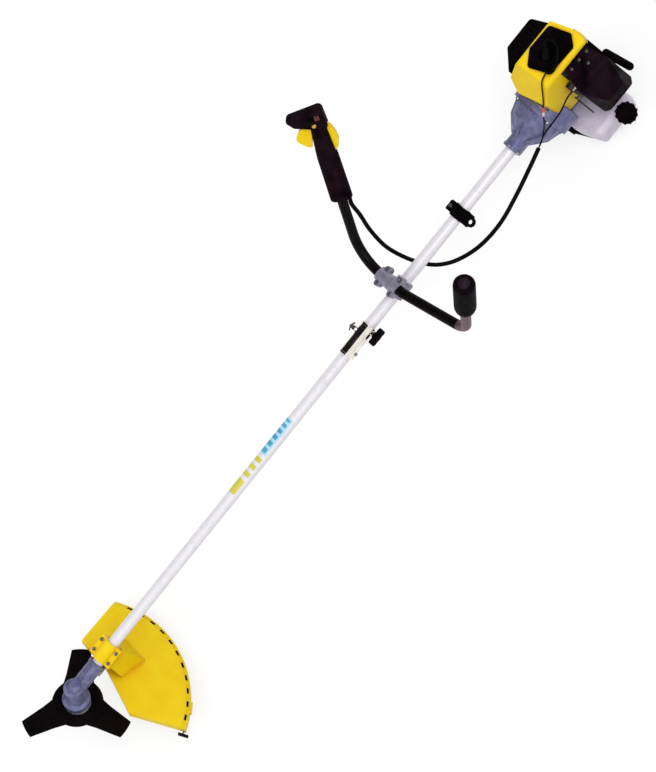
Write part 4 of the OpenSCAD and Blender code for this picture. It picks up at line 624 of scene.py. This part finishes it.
def make_band(name, spans, around, lift, finish):
    """Thin films that wrap part of the lower tube, one for each span along the shaft."""
    inside, outside = TUBE_R + BAND_GAP, TUBE_R + lift

    def build(shape):
        for low, high in spans:
            rings = []
            for step in range(BAND_STEPS + 1):
                angle = math.radians(around[0] + (around[1] - around[0]) * step / BAND_STEPS)
                y, z = math.cos(angle), math.sin(angle)
                rings.append([
                    at(low, y * inside, z * inside), at(high, y * inside, z * inside),
                    at(high, y * outside, z * outside), at(low, y * outside, z * outside),
                ])
            loft(shape, rings)

    add_piece(name, build, "lower_shaft", "yellow_plastic", finish)


for band_name, settings in BANDS.items():
    make_band(band_name, *settings)


# Left grip: the bar's bare stretch under it and the disc in its end

GRIP_BASE = at(1204.05, -190.76, 117.08)
GRIP_DIR = towards(0.435, -0.03, 0.9)
GRIP_LENGTH = 116.0
STUB_LENGTH = 64.0
STUB_R = 11.15
LEFT_RUN_DIR = towards(0.19, -0.98, -0.03)
LEFT_BEND_R = 32.0
BARE_SHARE = 0.8
BEND_STEPS = 16
DISC_DEPTH = 3.2
DISC_PROFILE = [(0, 12.9), (1.2, 12.9), (1.6, 12.2), (1.6, 10.6), (0.8, 9.8), (0.8, 0.2)]


def bare_route():
    """The bar's centre line from the bare share of its left bend up to the grip."""
    turn = LEFT_RUN_DIR.angle(GRIP_DIR)
    inward = (GRIP_DIR - LEFT_RUN_DIR * GRIP_DIR.dot(LEFT_RUN_DIR)).normalized()

    def from_start(angle):
        return (LEFT_RUN_DIR * math.sin(angle) + inward * (1 - math.cos(angle))) * LEFT_BEND_R * MM

    bend_start = GRIP_BASE - GRIP_DIR * STUB_LENGTH * MM - from_start(turn)
    shares = [1 - BARE_SHARE + BARE_SHARE * step / BEND_STEPS for step in range(BEND_STEPS + 1)]
    return [*(bend_start + from_start(turn * share) for share in shares), GRIP_BASE]


add_piece("bare_stub", tube(bare_route(), STUB_R, TURNED_SIDES), "base", "bar_paint", "bare_bar")
turned_piece(
    "grip_disc", GRIP_BASE + GRIP_DIR * (GRIP_LENGTH - DISC_DEPTH) * MM, GRIP_DIR, DISC_PROFILE,
    "grip_rubber", "grip_disc",
)


# Screws on the filter cover, and the ring and screws of the clutch housing's collar

SCREW_HEAD = [(-0.4, 3.6), (0.9, 3.6), (1.5, 3.2), (1.9, 2.2), (2, 1.5), (1.2, 1.4), (1.2, 0.2)]
FILTER_TOP = 140.0
FILTER_SCREWS = [(1750.9, -53), (1728.5, -52), (1734.7, -71.6), (1705.1, -52.5)]
COLLAR_FACE = 1499.6
COLLAR_RING = [(0, 13.2), (0.3, 21), (0.9, 21.6), (7, 21.6), (8.2, 20.1)]
COLLAR_SCREWS = [((1503.5, 2, 20.8), (0, 0.1, 1)), ((1501.5, -20, 9.5), (0, -0.9, 0.44))]

for number, (x, y) in enumerate(FILTER_SCREWS, 1):
    turned_piece(
        f"filter_screw_{number}", at(x, y, FILTER_TOP), SHAFT_UP, SCREW_HEAD, "steel", "gear_steel",
    )
turned_piece("collar_ring", at(COLLAR_FACE, 0, 0), SHAFT_DIR, COLLAR_RING, "cast_alloy")
for number, (place, axis) in enumerate(COLLAR_SCREWS, 1):
    turned_piece(f"collar_screw_{number}", at(*place), towards(*axis), SCREW_HEAD, "steel")


# Dark sheets as painted shade behind the slots of the muffler's guard and of the hood, each folded
# to a lip on both sides: their span along the shaft, their span across it and their height

SHEETS = {
    "muffler_shade_sheet": ((1655, 1733), (70, 96), 104.5),
    "hood_shade_sheet": ((1712, 1750), (-8, 30), 145.0),
}
SHEET_LIP = 4.0
SHEET_T = 0.8


def make_sheet(name, along, across, top):
    """A folded sheet of an even thickness."""
    left, right = across
    foot = top - SHEET_LIP
    profile = [
        (left, foot), (left, top), (right, top), (right, foot), (right - SHEET_T, foot),
        (right - SHEET_T, top - SHEET_T), (left + SHEET_T, top - SHEET_T), (left + SHEET_T, foot),
    ]

    def build(shape):
        loft(shape, [[at(x, y, z) for y, z in profile] for x in along])

    add_piece(name, build, "base", "muffler_steel", name)


for sheet_name, settings in SHEETS.items():
    make_sheet(sheet_name, *settings)


# Floor, world, lights and card

WHITE = (1, 1, 1, 1)
WORLD_LIGHT = 0.72
WORLD_SEEN = 1.0
FLOOR_SIZE = 40.0
FLOOR_LEVEL = -0.0005
FLOOR_SHADE = 0.36
FLOOR_GLOW = 0.66
CARD_RADIUS = 1.4
CARD_HALF = 1.8
CARD_ARC = (10, 116)
CARD_STEPS = 24
CARD_COLOUR = (24, 24, 26)
CARD_ROUGH = 0.9
# Each lamp's place from the middle of the view and its size, in metres, and its power in watts
LAMPS = {
    "key": ((1.6, -1.9, 4.4), 2.6, 82),
    "fill": ((-3.4, 0.4, 3.8), 3.0, 42),
    "rim": ((2.6, 2.6, 2.6), 2.0, 10),
}


def ray_kinds(tree):
    """1 for rays from the camera and for those seen in gloss or through glass."""
    light_path = tree.nodes.new("ShaderNodeLightPath")
    total = light_path.outputs["Is Camera Ray"]
    for kind in ("Is Glossy Ray", "Is Transmission Ray"):
        node = tree.nodes.new("ShaderNodeMath")
        node.operation = "MAXIMUM"
        tree.links.new(total, node.inputs[0])
        tree.links.new(light_path.outputs[kind], node.inputs[1])
        total = node.outputs["Value"]
    return total


def make_world():
    """A white room, whose light on the part is weaker than it looks."""
    world = bpy.data.worlds.new("studio")
    world.use_nodes = True
    tree = world.node_tree
    light = tree.nodes["Background"]
    seen = tree.nodes.new("ShaderNodeBackground")
    for node, strength in ((light, WORLD_LIGHT), (seen, WORLD_SEEN)):
        node.inputs["Color"].default_value = WHITE
        node.inputs["Strength"].default_value = strength
    mix = tree.nodes.new("ShaderNodeMixShader")
    tree.links.new(ray_kinds(tree), mix.inputs[0])
    tree.links.new(light.outputs[0], mix.inputs[1])
    tree.links.new(seen.outputs[0], mix.inputs[2])
    tree.links.new(mix.outputs[0], tree.nodes["World Output"].inputs["Surface"])
    bpy.context.scene.world = world


def make_floor():
    """A pale floor that keeps the shadow: part lit, part white of its own to the camera."""
    mesh = bpy.data.meshes.new("floor")
    half = FLOOR_SIZE / 2
    corners = [(-half, -half), (half, -half), (half, half), (-half, half)]
    mesh.from_pydata([(x, y, FLOOR_LEVEL) for x, y in corners], [], [(0, 1, 2, 3)])
    floor = bpy.data.objects.new("floor", mesh)
    bpy.context.scene.collection.objects.link(floor)
    material = bpy.data.materials.new("floor_white")
    material.use_nodes = True
    tree = material.node_tree
    shader = tree.nodes["Principled BSDF"]
    shader.inputs["Base Color"].default_value = (FLOOR_SHADE, FLOOR_SHADE, FLOOR_SHADE, 1)
    shader.inputs["Roughness"].default_value = 1.0
    shader.inputs["Specular IOR Level"].default_value = 0.0
    glow = tree.nodes.new("ShaderNodeEmission")
    strength = tree.nodes.new("ShaderNodeMath")
    strength.operation = "MULTIPLY"
    strength.inputs[1].default_value = FLOOR_GLOW
    tree.links.new(ray_kinds(tree), strength.inputs[0])
    tree.links.new(strength.outputs[0], glow.inputs["Strength"])
    both = tree.nodes.new("ShaderNodeAddShader")
    tree.links.new(shader.outputs[0], both.inputs[0])
    tree.links.new(glow.outputs[0], both.inputs[1])
    tree.links.new(both.outputs[0], tree.nodes["Material Output"].inputs["Surface"])
    mesh.materials.append(material)


def make_card():
    """A dark curved card beside the shaft, seen only in gloss, as a photographer's flag is."""
    facing = (TO_CAMERA - SHAFT_DIR * TO_CAMERA.dot(SHAFT_DIR)).normalized()
    shade_side = facing.cross(SHAFT_DIR)
    points = []
    for step in range(CARD_STEPS + 1):
        angle = math.radians(CARD_ARC[0] + (CARD_ARC[1] - CARD_ARC[0]) * step / CARD_STEPS)
        outward = facing * math.cos(angle) + shade_side * math.sin(angle)
        point = VIEW_MIDDLE + outward * CARD_RADIUS
        points += [point - SHAFT_DIR * CARD_HALF, point + SHAFT_DIR * CARD_HALF]
    faces = [(i, i + 1, i + 3, i + 2) for i in range(0, 2 * CARD_STEPS, 2)]
    mesh = bpy.data.meshes.new("card")
    mesh.from_pydata(points, [], faces)
    card = bpy.data.objects.new("card", mesh)
    bpy.context.scene.collection.objects.link(card)
    card.visible_camera = card.visible_diffuse = False
    card.visible_shadow = card.visible_transmission = False
    material = bpy.data.materials.new("card_black")
    material.use_nodes = True
    shader = material.node_tree.nodes["Principled BSDF"]
    shader.inputs["Base Color"].default_value = srgb(*CARD_COLOUR)
    shader.inputs["Roughness"].default_value = CARD_ROUGH
    mesh.materials.append(material)


def make_lamps():
    for name, (place, size, power) in LAMPS.items():
        data = bpy.data.lights.new(name, "AREA")
        data.size = size
        data.energy = power
        lamp = bpy.data.objects.new(name, data)
        bpy.context.scene.collection.objects.link(lamp)
        lamp.location = VIEW_MIDDLE + Vector(place)
        lamp.rotation_euler = Vector(place).to_track_quat("Z", "Y").to_euler()


make_world()
make_floor()
make_card()
make_lamps()
bpy.context.scene.view_settings.view_transform = "Standard"
